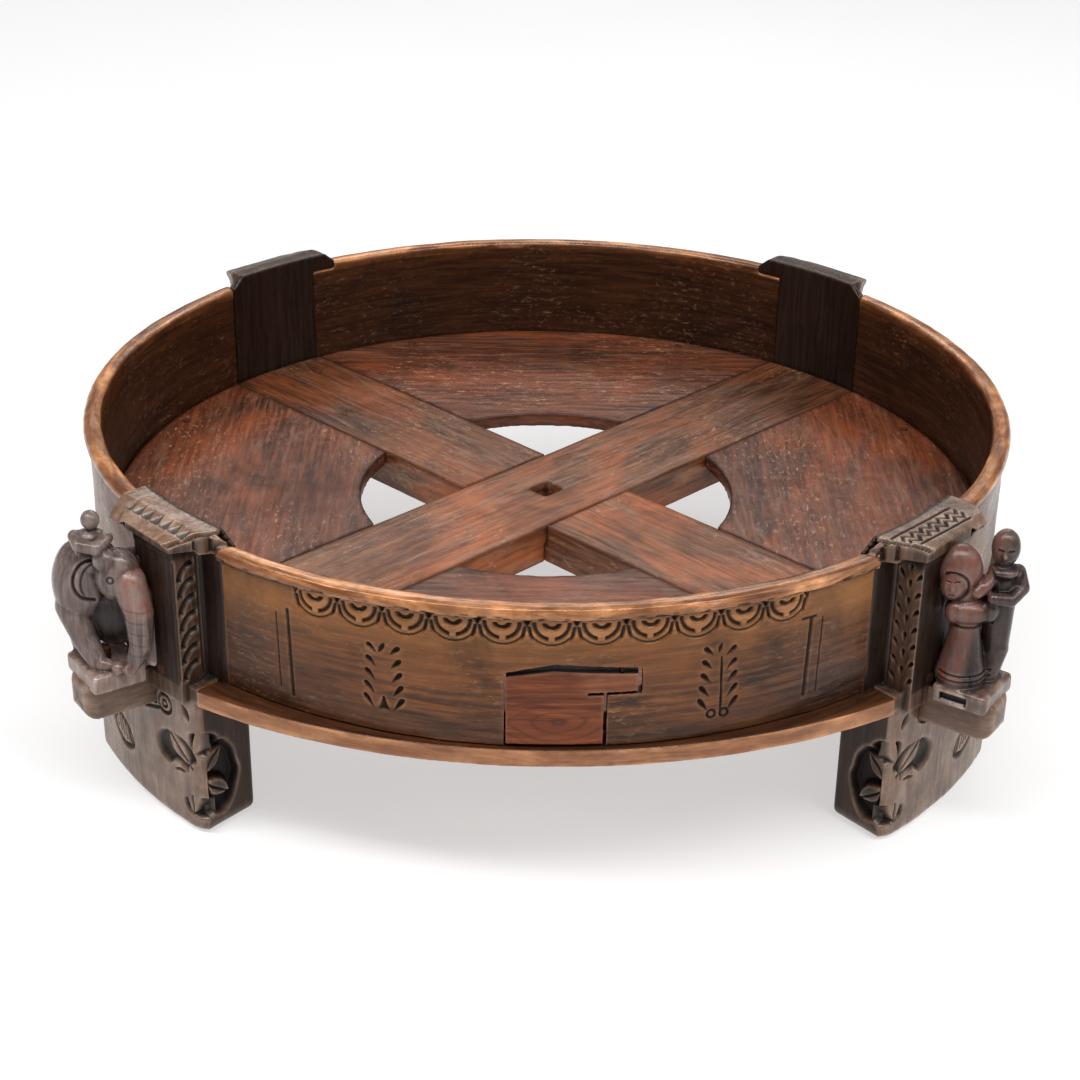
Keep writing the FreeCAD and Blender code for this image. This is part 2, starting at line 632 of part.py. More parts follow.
def make_parts():
    """Every sub-part of the tray, in the order of its assembly."""
    parts = [make_post(corner) for corner in CORNERS]
    parts += [make_bracket(corner) for corner in CORNERS]
    middle = "(dims.rail_bottom + dims.floor_top) / 2"
    parts.append(make_beam("beam_upper", 45, "dims.rail_bottom - 1", middle))
    parts.append(make_beam("beam_lower", -45, middle, "dims.floor_top + 1"))
    parts += [make_rail(side) for side in SIDES]
    parts += [make_floor_board(side) for side in SIDES]
    parts.append(make_front_wall())
    parts += [make_wall(side) for side in SIDES if side != "front"]
    parts += [make_gate(), make_gate_pin(), make_elephant(), make_couple()]
    return parts + make_fasteners()


def check(parts):
    """Stops the build if any object failed or any sub-part is not a valid shape."""
    for item in doc.Objects:
        if {"Invalid", "Error"} & set(item.State):
            raise SystemExit(f"{item.Label}: {item.State}")
    for part in parts:
        if part.Shape.isNull() or not part.Shape.isValid() or not part.Shape.Solids:
            raise SystemExit(f"{part.Label}: bad shape")
        print(f"{part.Label}: {len(part.Shape.Solids)} solid(s), {part.Shape.Volume / 1000:.1f} cm3")


def main():
    parts = make_parts()
    doc.recompute()
    check(parts)
    os.makedirs("parts", exist_ok=True)
    for part in parts:
        part.Shape.exportStep(f"parts/{part.Label}.step")


main()
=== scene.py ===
"""Looks of the carved grain-mill tray: aged, hand-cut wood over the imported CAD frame."""

import math

import bmesh
import bpy
import numpy as np
from mathutils import Matrix, Vector


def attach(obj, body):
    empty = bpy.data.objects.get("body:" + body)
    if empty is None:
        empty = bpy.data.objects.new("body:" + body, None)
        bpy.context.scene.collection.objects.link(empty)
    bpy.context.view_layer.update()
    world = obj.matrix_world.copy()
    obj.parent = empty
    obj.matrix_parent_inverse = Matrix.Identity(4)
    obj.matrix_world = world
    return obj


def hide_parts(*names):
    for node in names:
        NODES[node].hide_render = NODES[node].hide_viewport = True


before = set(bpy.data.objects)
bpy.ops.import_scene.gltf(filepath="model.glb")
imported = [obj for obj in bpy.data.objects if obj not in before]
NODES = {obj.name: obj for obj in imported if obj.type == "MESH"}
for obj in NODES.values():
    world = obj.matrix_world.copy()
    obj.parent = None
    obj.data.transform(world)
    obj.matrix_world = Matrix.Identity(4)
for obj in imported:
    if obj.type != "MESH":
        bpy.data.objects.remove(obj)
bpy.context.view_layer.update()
COARSE = 1.0
MM = 0.001
scene = bpy.context.scene

# Sizes of the tray in mm: heights from the floor under it, radii from its upright axis, half widths.
RIM_TOP, LIP_FOOT, FLOOR_TOP = 211.0, 202.4, 131.0
WALL_IN, WALL_OUT = 316.0, 326.5
LEG_TOP, LEG_IN, LEG_MIDDLE, LEG_OUT = 103, 296, 322.8, 344
LEG_HALF_THICK, LEG_HALF_LONG, LEG_AZIMUTH = 21.2, 70, math.radians(6.75)
CHEEK_FOOT, CAP_FOOT, CHEEK_IN, CHEEK_MIDDLE, CHEEK_OUT = 114, 204, 327, 338, 349.5
# The azimuth of each side, and of each corner with the sense that mirrors its carving.
SIDES = {"front": -90, "right": 0, "back": 90, "left": 180}
CORNERS = {"front_right": (-45, 1), "front_left": (-135, -1), "back_right": (45, -1), "back_left": (135, 1)}
# Whole numbers that scramble the corners of the random lattice.
HASH_X, HASH_Y, HASH_Z, HASH_SEED = 374761393, 668265263, 1442695041, 97531
HASH_MIX, HASH_KEEP, HASH_LOW = 1274126177, 0x7FFFFFFF, 0xFFFF
LATTICE_SHIFT = 17.3


# ---------------------------------------------------------------- numbers on points
def turn(points, degrees):
    """Points turned about the upright axis."""
    c, s = math.cos(math.radians(degrees)), math.sin(math.radians(degrees))
    x, y = points[:, 0], points[:, 1]
    return np.column_stack((c * x - s * y, s * x + c * y, points[:, 2]))


def lattice(points, cell, seed=0):
    """Smooth random values 0..1 on points in mm; cell is one size or three."""
    q = points / np.asarray(cell, float) + LATTICE_SHIFT * (seed + 1)
    i = np.floor(q).astype(np.int64)
    f = q - i
    f = f * f * (3 - 2 * f)
    total = np.zeros(len(q))
    for dx in (0, 1):
        for dy in (0, 1):
            for dz in (0, 1):
                n = (i[:, 0] + dx) * HASH_X + (i[:, 1] + dy) * HASH_Y + (i[:, 2] + dz) * HASH_Z
                n = n + seed * HASH_SEED
                n = (n ^ (n >> 13)) * HASH_MIX & HASH_KEEP
                n = n ^ (n >> 16)
                along_x = f[:, 0] if dx else 1 - f[:, 0]
                along_y = f[:, 1] if dy else 1 - f[:, 1]
                along_z = f[:, 2] if dz else 1 - f[:, 2]
                total += along_x * along_y * along_z * ((n & HASH_LOW) / float(HASH_LOW))
    return total


def ramp01(x, low, high):
    """A smooth step from 0 at low to 1 at high."""
    t = np.clip((x - low) / (high - low), 0, 1)
    return t * t * (3 - 2 * t)


def chip(x, y, cx, cy, length, width, degrees):
    """A lens-shaped knife cut with a V section: 1 at its middle, 0 at its rim."""
    c, s = math.cos(math.radians(degrees)), math.sin(math.radians(degrees))
    u = ((x - cx) * c + (y - cy) * s) / (length / 2)
    v = (-(x - cx) * s + (y - cy) * c) / (width / 2)
    return np.clip(1 - u * u - np.abs(v), 0, 1)


def drop(x, y, cx, cy, length, width, degrees):
    """A teardrop cut, widest towards its upper end."""
    c, s = math.cos(math.radians(degrees)), math.sin(math.radians(degrees))
    u = ((x - cx) * c + (y - cy) * s) / (length / 2)
    v = (-(x - cx) * s + (y - cy) * c) / (width / 2)
    half = np.sqrt(np.clip(1 - u * u, 0, 1)) * (0.55 + 0.45 * u)
    return np.clip((half - np.abs(v)) * 2.2, 0, 1) * (np.abs(u) < 1)


def line(x, y, x0, y0, x1, y1, width):
    """A groove along a segment: 1 on the line, 0 at half its width."""
    dx, dy = x1 - x0, y1 - y0
    t = np.clip(((x - x0) * dx + (y - y0) * dy) / (dx * dx + dy * dy), 0, 1)
    return np.clip(1 - np.hypot(x - x0 - t * dx, y - y0 - t * dy) / (width / 2), 0, 1)


def circle(x, y, cx, cy, radius, width):
    """A groove along a circle."""
    return np.clip(1 - np.abs(np.hypot(x - cx, y - cy) - radius) / (width / 2), 0, 1)


def highest(*fields):
    """The largest of several fields at each point."""
    out = fields[0]
    for field in fields[1:]:
        out = np.maximum(out, field)
    return out


def grooves(x, y, *rows):
    """Grooves of the given ends and width."""
    return highest(*(line(x, y, *row) for row in rows))


def facing(p, normal):
    """Each point's distance from the upright axis, and how far its surface faces away from that axis."""
    radius = np.hypot(p[:, 0], p[:, 1])
    return radius, (p[:, 0] * normal[:, 0] + p[:, 1] * normal[:, 1]) / radius


def unrolled(p):
    """Distance along the outside of the wall, and height."""
    return np.arctan2(p[:, 1], p[:, 0]) * WALL_OUT, p[:, 2]


# ---------------------------------------------------------------- fine meshes
class Skin:
    """A fine mesh with its points in mm, which can be smoothed, cut and marked."""

    def __init__(self, mesh, voxel):
        self.mesh, self.voxel = mesh, voxel * COARSE
        n = len(mesh.vertices)
        flat = np.empty(n * 3, np.float32)
        mesh.vertices.foreach_get("co", flat)
        self.co = flat.reshape(-1, 3).astype(float) / MM
        pairs = np.empty(len(mesh.edges) * 2, np.int32)
        mesh.edges.foreach_get("vertices", pairs)
        self.a, self.b = pairs[0::2], pairs[1::2]
        self.degree = np.maximum(np.bincount(self.a, minlength=n) + np.bincount(self.b, minlength=n), 1)

    def mean(self, field):
        """Mean of a field over each point's neighbours."""
        if field.ndim == 1:
            n = len(field)
            total = np.bincount(self.a, field[self.b], n) + np.bincount(self.b, field[self.a], n)
            return total / self.degree
        return np.column_stack([self.mean(field[:, k]) for k in range(field.shape[1])])

    def blur(self, field, rounds):
        for _ in range(rounds):
            field = 0.5 * field + 0.5 * self.mean(field)
        return field

    def smooth(self, rounds):
        self.co = self.blur(self.co, rounds)

    def write(self):
        self.mesh.vertices.foreach_set("co", (self.co * MM).astype(np.float32).ravel())
        self.mesh.update()

    def normals(self):
        self.write()
        flat = np.empty(len(self.co) * 3, np.float32)
        self.mesh.vertices.foreach_get("normal", flat)
        return flat.reshape(-1, 3).astype(float)

    def bend(self, rounds=2):
        """How sharply the surface bends: above 0 on edges, below 0 in hollows."""
        normal = self.normals()
        gap = self.mean(self.co) - self.co
        return self.blur(-(gap * normal).sum(1) / self.voxel, rounds)

    def mark(self, grain, wear, dirt_and_shade, gold, deep):
        """Stores the grain coordinates in metres and the four marks that the wood material reads."""
        store = self.mesh.attributes.new("grain", "FLOAT_VECTOR", "POINT")
        store.data.foreach_set("vector", (grain * MM).astype(np.float32).ravel())
        marks = np.column_stack([np.clip(field, 0, 1) for field in (wear, dirt_and_shade, gold, deep)])
        store = self.mesh.attributes.new("marks", "FLOAT_COLOR", "POINT")
        store.data.foreach_set("color", marks.astype(np.float32).ravel())


def fine_mesh(name, mesh, voxel):
    """A mesh's shape as one closed mesh of small even faces."""
    probe = bpy.data.objects.new(name + "_probe", mesh)
    scene.collection.objects.link(probe)
    modifier = probe.modifiers.new("fine", "REMESH")
    modifier.mode = "VOXEL"
    modifier.voxel_size = voxel * COARSE * MM
    modifier.use_smooth_shade = True
    bpy.context.view_layer.update()
    fine = bpy.data.meshes.new_from_object(probe.evaluated_get(bpy.context.evaluated_depsgraph_get()))
    fine.materials.clear()
    bpy.data.objects.remove(probe)
    return fine


def worn(node, voxel, azimuth, grain, relief=None, rounds=4, rough=0.45, ripple=0.25, edge=0.7, seam=0.0):
    """A worn, hand-cut copy of a CAD node, which is turned from its azimuth to 0 while it is cut.

    rough and ripple are the depths in mm of its unevenness, edge is how rubbed its edges are, and seam is how
    much dirt lies along them. Its side faces stay whole, so that it closes against its neighbours.
    """
    skin = Skin(fine_mesh(node, NODES[node].data.copy(), voxel), voxel)
    skin.smooth(rounds)
    normal = turn(skin.normals(), -azimuth)
    local = turn(skin.co, -azimuth)
    seed = sum(map(ord, node)) % 89
    lines = grain(local)
    pit = np.zeros(len(local))
    marks = {"gold": np.zeros(len(local)), "deep": np.zeros(len(local)), "wear": np.zeros(len(local))}
    move = np.zeros_like(local)
    if relief:
        relief(local, normal, move, pit, marks)
    hollow = rough * lattice(lines, 22, seed) + ripple * lattice(lines, (26, 3.2, 3.2), seed + 1)
    hollow += 0.5 * rough * lattice(lines, 7, seed + 2)
    radius = np.maximum(np.hypot(local[:, 0], local[:, 1]), 1)
    sideways = np.abs(local[:, 0] * normal[:, 1] - local[:, 1] * normal[:, 0]) / radius
    calm = (1 - 0.7 * np.clip(pit, 0, 1)) * (1 - 0.95 * ramp01(sideways, 0.55, 0.8))
    local = local + move - normal * (hollow * calm)[:, None]
    skin.co = turn(local, azimuth)
    bend = skin.bend()
    broad = skin.blur(bend, 10)
    sharp, wide = np.clip(bend * 5, 0, 1), np.clip(broad * 12, 0, 1)
    # Light rubbed edges and marks, on the lip partly a painted highlight; darker creases, hollows, cuts and
    # seams, with painted shade where a relief marks a gap.
    wear = (sharp + 0.8 * wide) * edge + marks["wear"]
    dirt_and_shade = np.clip(-bend * 6, 0, 1) * 0.8 + np.clip(-broad * 14, 0, 1) * 0.6 + skin.blur(pit, 1) * 0.85
    dirt_and_shade += seam * (sharp + 0.5 * wide)
    own_wood = lines + seed * np.array([41.0, 7.0, 3.0])
    skin.mark(own_wood, wear, dirt_and_shade, marks["gold"], marks["deep"])
    skin.write()
    return bpy.data.objects.new(node + "_wood", skin.mesh)


def place(obj, material, slot, body, *nodes):
    """Shows an object in place of CAD nodes, on their body."""
    scene.collection.objects.link(obj)
    obj.data.materials.append(material)
    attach(obj, body)
    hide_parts(*nodes)


# ---------------------------------------------------------------- materials
class Tree:
    """Short hands for building a node material."""

    def __init__(self, name):
        self.material = bpy.data.materials.new(name)
        self.material.use_nodes = True
        self.tree = self.material.node_tree
        self.shader = next(n for n in self.tree.nodes if n.type == "BSDF_PRINCIPLED")

    def new(self, kind, **settings):
        node = self.tree.nodes.new(kind)
        for key, value in settings.items():
            setattr(node, key, value)
        return node

    def feed(self, socket, value):
        if isinstance(value, bpy.types.NodeSocket):
            self.tree.links.new(value, socket)
        else:
            socket.default_value = value

    def shade(self, name, value):
        """Sets an input of the shader to a constant or to another node's output."""
        self.feed(self.shader.inputs[name], value)

    def math(self, operation, first, second):
        node = self.new("ShaderNodeMath", operation=operation)
        self.feed(node.inputs[0], first)
        self.feed(node.inputs[1], second)
        return node.outputs[0]

    def product(self, first, second):
        return self.math("MULTIPLY", first, second)

    def mix(self, factor, first, second):
        node = self.new("ShaderNodeMix", data_type="RGBA", clamp_factor=True)
        for socket, value in ((node.inputs[0], factor), (node.inputs[6], first), (node.inputs[7], second)):
            self.feed(socket, value)
        return node.outputs[2]

    def span(self, value, low, high, to_low=0.0, to_high=1.0):
        node = self.new("ShaderNodeMapRange", clamp=True)
        for socket, item in zip(node.inputs, (value, low, high, to_low, to_high)):
            self.feed(socket, item)
        return node.outputs[0]

    def noise(self, vector, scale, detail, roughness, distortion=0.0):
        node = self.new("ShaderNodeTexNoise")
        self.feed(node.inputs["Vector"], vector)
        node.inputs["Scale"].default_value = scale
        node.inputs["Detail"].default_value = detail
        node.inputs["Roughness"].default_value = roughness
        node.inputs["Distortion"].default_value = distortion
        return node.outputs[0]

    def stretched(self, vector, factors):
        node = self.new("ShaderNodeMapping")
        self.feed(node.inputs["Vector"], vector)
        node.inputs["Scale"].default_value = factors
        return node.outputs[0]


COLOUR_STRENGTH = 1.03


def colour(red, green, blue):
    """A linear colour from display values 0..255, a little stronger against the haze of its gloss."""
    linear = [((v / 255 + 0.055) / 1.055) ** 2.4 for v in (red, green, blue)]
    grey = 0.3 * linear[0] + 0.6 * linear[1] + 0.1 * linear[2]
    return tuple(max(grey + (v - grey) * COLOUR_STRENGTH, 0.002) for v in linear) + (1.0,)


# The soot tone darkens dirt and painted shade alike.
FLECK_TONE, ASH_TONE, SOOT_AND_SHADE_TONE = colour(190, 156, 130), colour(150, 124, 106), colour(18, 10, 7)


def wood(name, tones, specks=0.0, gloss=0.4, stain=0.5, patch=0.0, ash=0.0):
    """Old oiled wood: fibres, stains, warm and ashy patches, rubbed edges, dirt in cuts and pale flecks, with
    painted shade and a painted highlight where the marks carry them.
    """
    dark, mid, light, worn_and_sheen_tone, gold, deep, warm = (colour(*tone) for tone in tones)
    t = Tree(name)
    grain = t.new("ShaderNodeAttribute", attribute_name="grain").outputs["Vector"]
    marks = t.new("ShaderNodeAttribute", attribute_name="marks")
    parts = t.new("ShaderNodeSeparateColor")
    t.feed(parts.inputs[0], marks.outputs["Color"])
    wear, dirt_and_shade, golden = parts.outputs[0], parts.outputs[1], parts.outputs[2]
    darkened = marks.outputs["Alpha"]
    # fibres, broader bands, clouds and fine grit, which all layers share
    fibre = t.noise(t.stretched(grain, (9, 130, 130)), 2.2, 6, 0.62, 0.6)
    band = t.noise(t.stretched(grain, (4, 26, 26)), 1.6, 4, 0.5, 1.2)
    cloud = t.noise(grain, 14, 5, 0.6, 0.8)
    grit = t.noise(grain, 420, 4, 0.7)
    # the bare wood
    body = t.mix(t.span(band, 0.36, 0.66), dark, mid)
    lit = t.product(t.span(fibre, 0.44, 0.7), t.span(cloud, 0.25, 0.6, 0.35, 1.0))
    body = t.mix(lit, body, light)
    if patch:
        spread = t.span(t.noise(t.stretched(grain, (1.0, 2.0, 2.0)), 5.5, 5, 0.62, 0.9), 0.46, 0.64)
        fibrous = t.product(spread, t.span(fibre, 0.3, 0.6, 0.35, 1.0))
        body = t.mix(t.product(fibrous, patch), body, warm)
    if ash:
        streak = t.noise(t.stretched(grain, (7, 42, 42)), 2.6, 6, 0.68, 0.8)
        body = t.mix(t.product(t.span(streak, 0.52, 0.72), ash), body, ASH_TONE)
    # golden areas; dark areas, partly real dark tone and partly painted shade; and stains
    body = t.mix(golden, body, t.mix(t.span(fibre, 0.3, 0.7), gold, light))
    shade = t.product(darkened, t.span(cloud, 0.3, 0.75, 1.0, 0.72))
    body = t.mix(shade, body, t.mix(t.span(fibre, 0.35, 0.75), deep, dark))
    body = t.mix(t.product(t.span(cloud, 0.52, 0.72), stain), body, deep)
    # rubbed edges (on the lip partly a painted highlight), flecks, grit, and dirt with painted shade
    rubbed = t.product(wear, t.span(t.noise(grain, 60, 4, 0.65), 0.3, 0.6, 0.3, 1.0))
    streaks = t.span(t.noise(t.stretched(grain, (12, 60, 60)), 1.6, 5, 0.6, 0.6), 0.4, 0.62)
    body = t.mix(rubbed, body, t.mix(streaks, warm, worn_and_sheen_tone))
    if specks:
        fleck = t.noise(t.stretched(grain, (80, 200, 200)), 1.7, 7, 0.78, 0.4)
        area = t.span(t.noise(grain, 11, 3, 0.6), 0.42, 0.6)
        body = t.mix(t.product(t.span(fleck, 0.55, 0.64), t.product(area, specks)), body, FLECK_TONE)
    body = t.mix(t.span(grit, 0.62, 0.75, 0.0, 0.35), body, deep)
    # mix towards soot for dirt and for painted shade
    body = t.mix(t.product(dirt_and_shade, 0.92), body, SOOT_AND_SHADE_TONE)
    t.shade("Base Color", body)
    # rubbed wood shines; dirt and painted shade don't
    shine = t.span(cloud, 0.3, 0.7, gloss - 0.1, gloss + 0.12)
    shine = t.math("ADD", shine, t.product(t.span(fibre, 0.4, 0.7), 0.08))
    shine = t.math("MAXIMUM", t.math("SUBTRACT", shine, t.product(wear, 0.16)), 0.13)
    t.shade("Roughness", t.math("ADD", shine, t.product(dirt_and_shade, 0.25)))
    t.shade("Specular IOR Level", t.math("ADD", t.product(wear, 0.4), 0.4))
    bump = t.new("ShaderNodeBump")
    bump.inputs["Strength"].default_value = 0.5
    bump.inputs["Distance"].default_value = 0.0008
    t.feed(bump.inputs["Height"], t.math("ADD", t.product(fibre, 0.7), t.product(grit, 0.3)))
    t.shade("Normal", bump.outputs[0])
    return t.material


def iron(name):
    """Dark iron with rusty patches."""
    t = Tree(name)
    where = t.new("ShaderNodeTexCoord").outputs["Object"]
    patch = t.noise(where, 260, 5, 0.65)
    t.shade("Base Color", t.mix(t.span(patch, 0.4, 0.65), colour(52, 46, 42), colour(92, 52, 32)))
    t.shade("Roughness", t.span(patch, 0.3, 0.7, 0.42, 0.8))
    t.shade("Metallic", 0.8)
    return t.material


def plain_wood(name, first, second):
    """End grain of the small pegs, which have no mesh marks of their own."""
    t = Tree(name)
    where = t.new("ShaderNodeTexCoord").outputs["Object"]
    patch = t.noise(t.stretched(where, (1, 1, 0.2)), 320, 5, 0.6, 0.4)
    t.shade("Base Color", t.mix(t.span(patch, 0.35, 0.65), first, second))
    t.shade("Roughness", t.span(patch, 0.3, 0.7, 0.5, 0.75))
    return t.material


# ---------------------------------------------------------------- grain directions
def round_grain(p):
    """Fibres run round the tray; the second axis is height."""
    return np.column_stack((*unrolled(p), np.hypot(p[:, 0], p[:, 1])))


def long_grain(p):
    """Fibres run outward, along a beam or a bar."""
    return p.copy()


def cross_grain(p):
    """Fibres run level across the azimuth, as in the floor boards."""
    return np.column_stack((p[:, 1], p[:, 0], p[:, 2]))


def upright_grain(p):
    return np.column_stack((p[:, 2], p[:, 1], p[:, 0]))


# ---------------------------------------------------------------- carving on the walls
# A relief gets the points p and normals of a piece turned to azimuth 0, and adds to three fields: move in mm,
# pit (0..1: dirt in a cut, painted shade in a gap) and marks.
def push(p, move, amount):
    """Adds a move along the radius; inward is below 0."""
    radius = np.maximum(np.hypot(p[:, 0], p[:, 1]), 1e-6)
    move[:, 0] += p[:, 0] / radius * amount
    move[:, 1] += p[:, 1] / radius * amount


def lip_marks(p, normal, move, pit, marks, seed):
    """A rubbed lip, its light rubbed tone partly a painted highlight, with small chips along its foot, and
    painted shade on the inner face under it, deeper further down.
    """
    radius, outward = facing(p, normal)
    z = p[:, 2]
    round_wall = round_grain(p)
    on_lip = ramp01(z, LIP_FOOT - 0.6, LIP_FOOT + 0.8) * ramp01(radius, WALL_IN - 1, WALL_IN + 2)
    # The rubbed lip: real wear, with its light rubbed tone partly a painted highlight.
    marks["wear"] += on_lip * (0.4 + 0.6 * ramp01(lattice(round_wall, (38, 7, 7), seed + 11), 0.25, 0.6))
    # painted shade on the inner face below the lip, deepening further below the rim
    inner = ramp01(-outward, 0.2, 0.7) * (radius < WALL_IN + 4) * (1 - on_lip) * (z > FLOOR_TOP - 2)
    marks["deep"] += inner * (0.62 + 0.26 * ramp01(RIM_TOP - z, 0, 30))
    marks["wear"] += inner * (0.5 * ramp01(lattice(round_wall, (14, 3, 3), seed + 5), 0.72, 0.88) - 0.25)
    under_lip = 1 - ramp01(z, LIP_FOOT - 3, LIP_FOOT)
    marks["wear"] -= 0.6 * (1 - on_lip) * under_lip * (radius < WALL_OUT - 2)
    chips = ramp01(lattice(round_wall, (5, 2.2, 5), seed + 9), 0.6, 0.75)
    chips = chips * np.exp(-((z - LIP_FOOT - 0.6) / 1.7) ** 2) * (radius > WALL_OUT - 0.5)
    push(p, move, -1.3 * chips)
    pit += chips * 0.8


PETAL_PITCH, PETALS, PETAL_START = 29.6, 11, 2.0


def frieze(s, v):
    """Cut depth in mm of the petal border, and its area: s along the wall, v down from the lip."""
    half = PETAL_PITCH / 2
    x = (s - PETAL_START + half) % PETAL_PITCH - half
    edge = half - np.abs(x)
    petal = np.hypot(x, v - 3.2)
    arcs = np.clip(1 - np.abs(petal - 10.6) / 1.9, 0, 1) * (v > 2.5) * (np.abs(x) > 2.0)
    outer = np.clip(1 - np.abs(petal - 14.6) / 0.9, 0, 1) * (v > 5) * (edge > 1.2) * 0.5
    smile = np.clip(1 - np.abs(np.hypot(x, v - 1.6) - 4.7) / 1.9, 0, 1) * (v > 3.0)
    wedge = np.clip(1 - edge / np.maximum(4.4 - 0.8 * v, 0.01), 0, 1) * (v < 5.2)
    ridge = np.clip(1 - np.abs(edge - 1.2 - 0.2 * (v - 6)) / 1.5, 0, 1) * (v > 5.5) * (v < 15.5)
    ground = ramp01(petal, 11.2, 12.6) * 0.8
    depth = highest(arcs * 2.8, outer * 1.6, smile * 2.8, wedge * 3.0, ridge * 2.2) + ground
    inside = (np.abs(s - PETAL_START) < PETALS / 2 * PETAL_PITCH) * ramp01(21.5 - v, 0, 1.2) * (v > -1)
    scallop = ramp01(petal, 15.2, 16.4) * ramp01(v, 11, 13)
    area = inside * (1 - scallop)
    return depth * area, area


def sprig(x, z, mirrored):
    """Two columns of slanting leaf cuts on a short stem."""
    depth = np.zeros(len(x))
    for i in range(5):
        rise, spread, length, tilt = 134.5 + 9.3 * i, 9.6 - 0.6 * i, 11.6 - 0.6 * i, 3 * i
        left = drop(x, z, -spread, rise + (1.5 if mirrored else 0), length, 5.6, 126 + tilt)
        right = drop(x, z, spread, rise, length, 5.6, 54 - tilt)
        depth = highest(depth, left, right)
    if mirrored:
        stem = highest(line(x, z, 2.2, 130, 1.2, 168, 1.6), chip(x, z, 0, 175, 8, 3.4, 75))
        curls = highest(circle(x, z, -4, 129, 2.6, 1.8), circle(x, z, 4.5, 128.5, 2.6, 1.8))
        return highest(depth, stem * 0.8, curls * 0.8)
    stem = np.clip(1 - np.abs(x) / np.maximum(0.45 * (140 - z), 0.01), 0, 1) * (z < 140) * (z > 130)
    return highest(depth, stem, chip(x, z, -1, 173, 9, 4, 60))


# Upright grooves at both ends of the front wall: two ends, width and weight.
FRONT_GROOVES = [
    (-164.5, 124, -166.5, 184, 3.0, 1.0), (-173.5, 128, -175, 180, 1.2, 0.6), (167, 128, 169, 182, 3.4, 1.0),
    (176, 128, 177.5, 180, 1.2, 0.7), (162, 182.5, 172, 182.5, 1.6, 1.0)]
LEFT_SPRIG, RIGHT_SPRIG = -101, 106
GATE_MIDDLE, GATE_HALF, GATE_FOOT, GATE_TOP = 13, 46, 114.5, 176


def front_relief(p, normal, move, pit, marks):
    """The carved front wall: border, sprigs and grooves, and painted shade on the side faces of the gate's
    opening.
    """
    lip_marks(p, normal, move, pit, marks, 3)
    radius, outward = facing(p, normal)
    s, z = unrolled(p)
    away = np.abs(s)
    face = ramp01(outward, 0.4, 0.8) * (radius > WALL_OUT - 3) * (z < LIP_FOOT + 0.4)
    border, border_area = frieze(s, LIP_FOOT - z)
    sprigs = highest(sprig(s - LEFT_SPRIG, z, False), sprig(s - RIGHT_SPRIG, z, True)) * 2.4
    uprights = highest(*(line(s, z, *groove[:5]) * groove[5] for groove in FRONT_GROOVES)) * 1.8
    push(p, move, -highest(border, sprigs, uprights) * face)
    pit += face * np.clip(highest(border - 0.7, sprigs * 1.1, uprights) / 1.5, 0, 1)
    plain = face * (1 - border_area)
    upper = ramp01(z + 8 * lattice(p, 40, 2), 162, 196) * (0.55 + 0.45 * ramp01(away, 150, 190))
    marks["gold"] += face * border_area * 0.9 + plain * 0.75 * upper
    ends, foot = ramp01(away, 100, 190) * ramp01(190 - z, 0, 25), ramp01(146 - z, 0, 26)
    marks["deep"] += plain * 0.45 * (ends + foot)
    marks["wear"] += face * border_area * 0.2
    # painted shade on the side faces of the gate's opening, in the gap round the gate
    opening = (np.abs(s - GATE_MIDDLE) < GATE_HALF) * (z < GATE_TOP) * (z > GATE_FOOT)
    slot = opening * (radius > WALL_IN + 0.6) * (radius < WALL_OUT - 1.2)
    pit += 0.9 * slot * (1 - ramp01(np.abs(outward), 0.5, 0.8))


def wall_relief(p, normal, move, pit, marks):
    lip_marks(p, normal, move, pit, marks, 8)


RING_PITCH, RING_REACH = 4.6, 26


def gate_relief(p, normal, move, pit, marks):
    """Oval growth rings on the face, painted shade on its top and side faces in the gaps round it, and a
    rubbed edge over the saw cut.
    """
    outward = facing(p, normal)[1]
    s, z = unrolled(p)
    face = ramp01(outward, 0.5, 0.8)
    sway = 9 * (lattice(p, 20, 3) - 0.5)
    oval = np.hypot((s - 6 + sway) / 2.7, z - 131 + sway)
    ring = np.clip(1 - np.abs((oval + 1) % RING_PITCH - RING_PITCH / 2) / 0.9, 0, 1) * (oval < RING_REACH)
    marks["deep"] += face * (ring * 0.6 + 0.3 * (oval < 2.5))
    marks["wear"] += face * 0.35 * ramp01(z, 148, 152) * ramp01(s, 10, 30)
    # painted shade on the top and side faces, which lie in the gaps round the gate
    pit += ramp01(normal[:, 2], 0.5, 0.8) + 0.7 * (1 - ramp01(np.abs(outward), 0.4, 0.7))


def rail_relief(p, normal, move, pit, marks):
    """The top of a rail is darker, with painted shade deepening it next to the wall, and the rail is rubbed
    along its outer edge.
    """
    radius = np.hypot(p[:, 0], p[:, 1])
    top = ramp01(normal[:, 2], 0.5, 0.85)
    # a darker top, with painted shade strongest in the corner by the wall
    marks["deep"] += top * (1.0 - 0.4 * ramp01(radius, WALL_OUT + 8, WALL_OUT + 16))
    marks["wear"] += 0.4 * (1 - top) - 0.8 * top


def beam_relief(far):
    """The far arm of a beam is as dark as the boards beside it; far is 1 or -1, its side along the beam."""
    def relief(p, normal, move, pit, marks):
        marks["deep"] += 0.45 * ramp01(p[:, 0] * far, 60, 180)
    return relief


# ---------------------------------------------------------------- carving on the posts
def pinch(behind, radius, half):
    """How far a section of the given half width shrinks, for an end rounded off over radius."""
    back = np.clip((radius - behind) / radius, 0, 1)
    return (half - radius + radius * np.sqrt(1 - back * back)) / half


BOSS = (-22, 46)
PETAL_CHIPS = [(-6, 60, 36, 20, 46), (-4, 40, 32, 19, -14), (-18, 26, 30, 18, -74),
               (-42, 34, 28, 19, 212), (-38, 56, 30, 17, 150), (-24, 70, 24, 13, 100)]
VEIN_ENDS = [(6, 72), (12, 36), (-52, 26), (-50, 64), (-15, 14)]


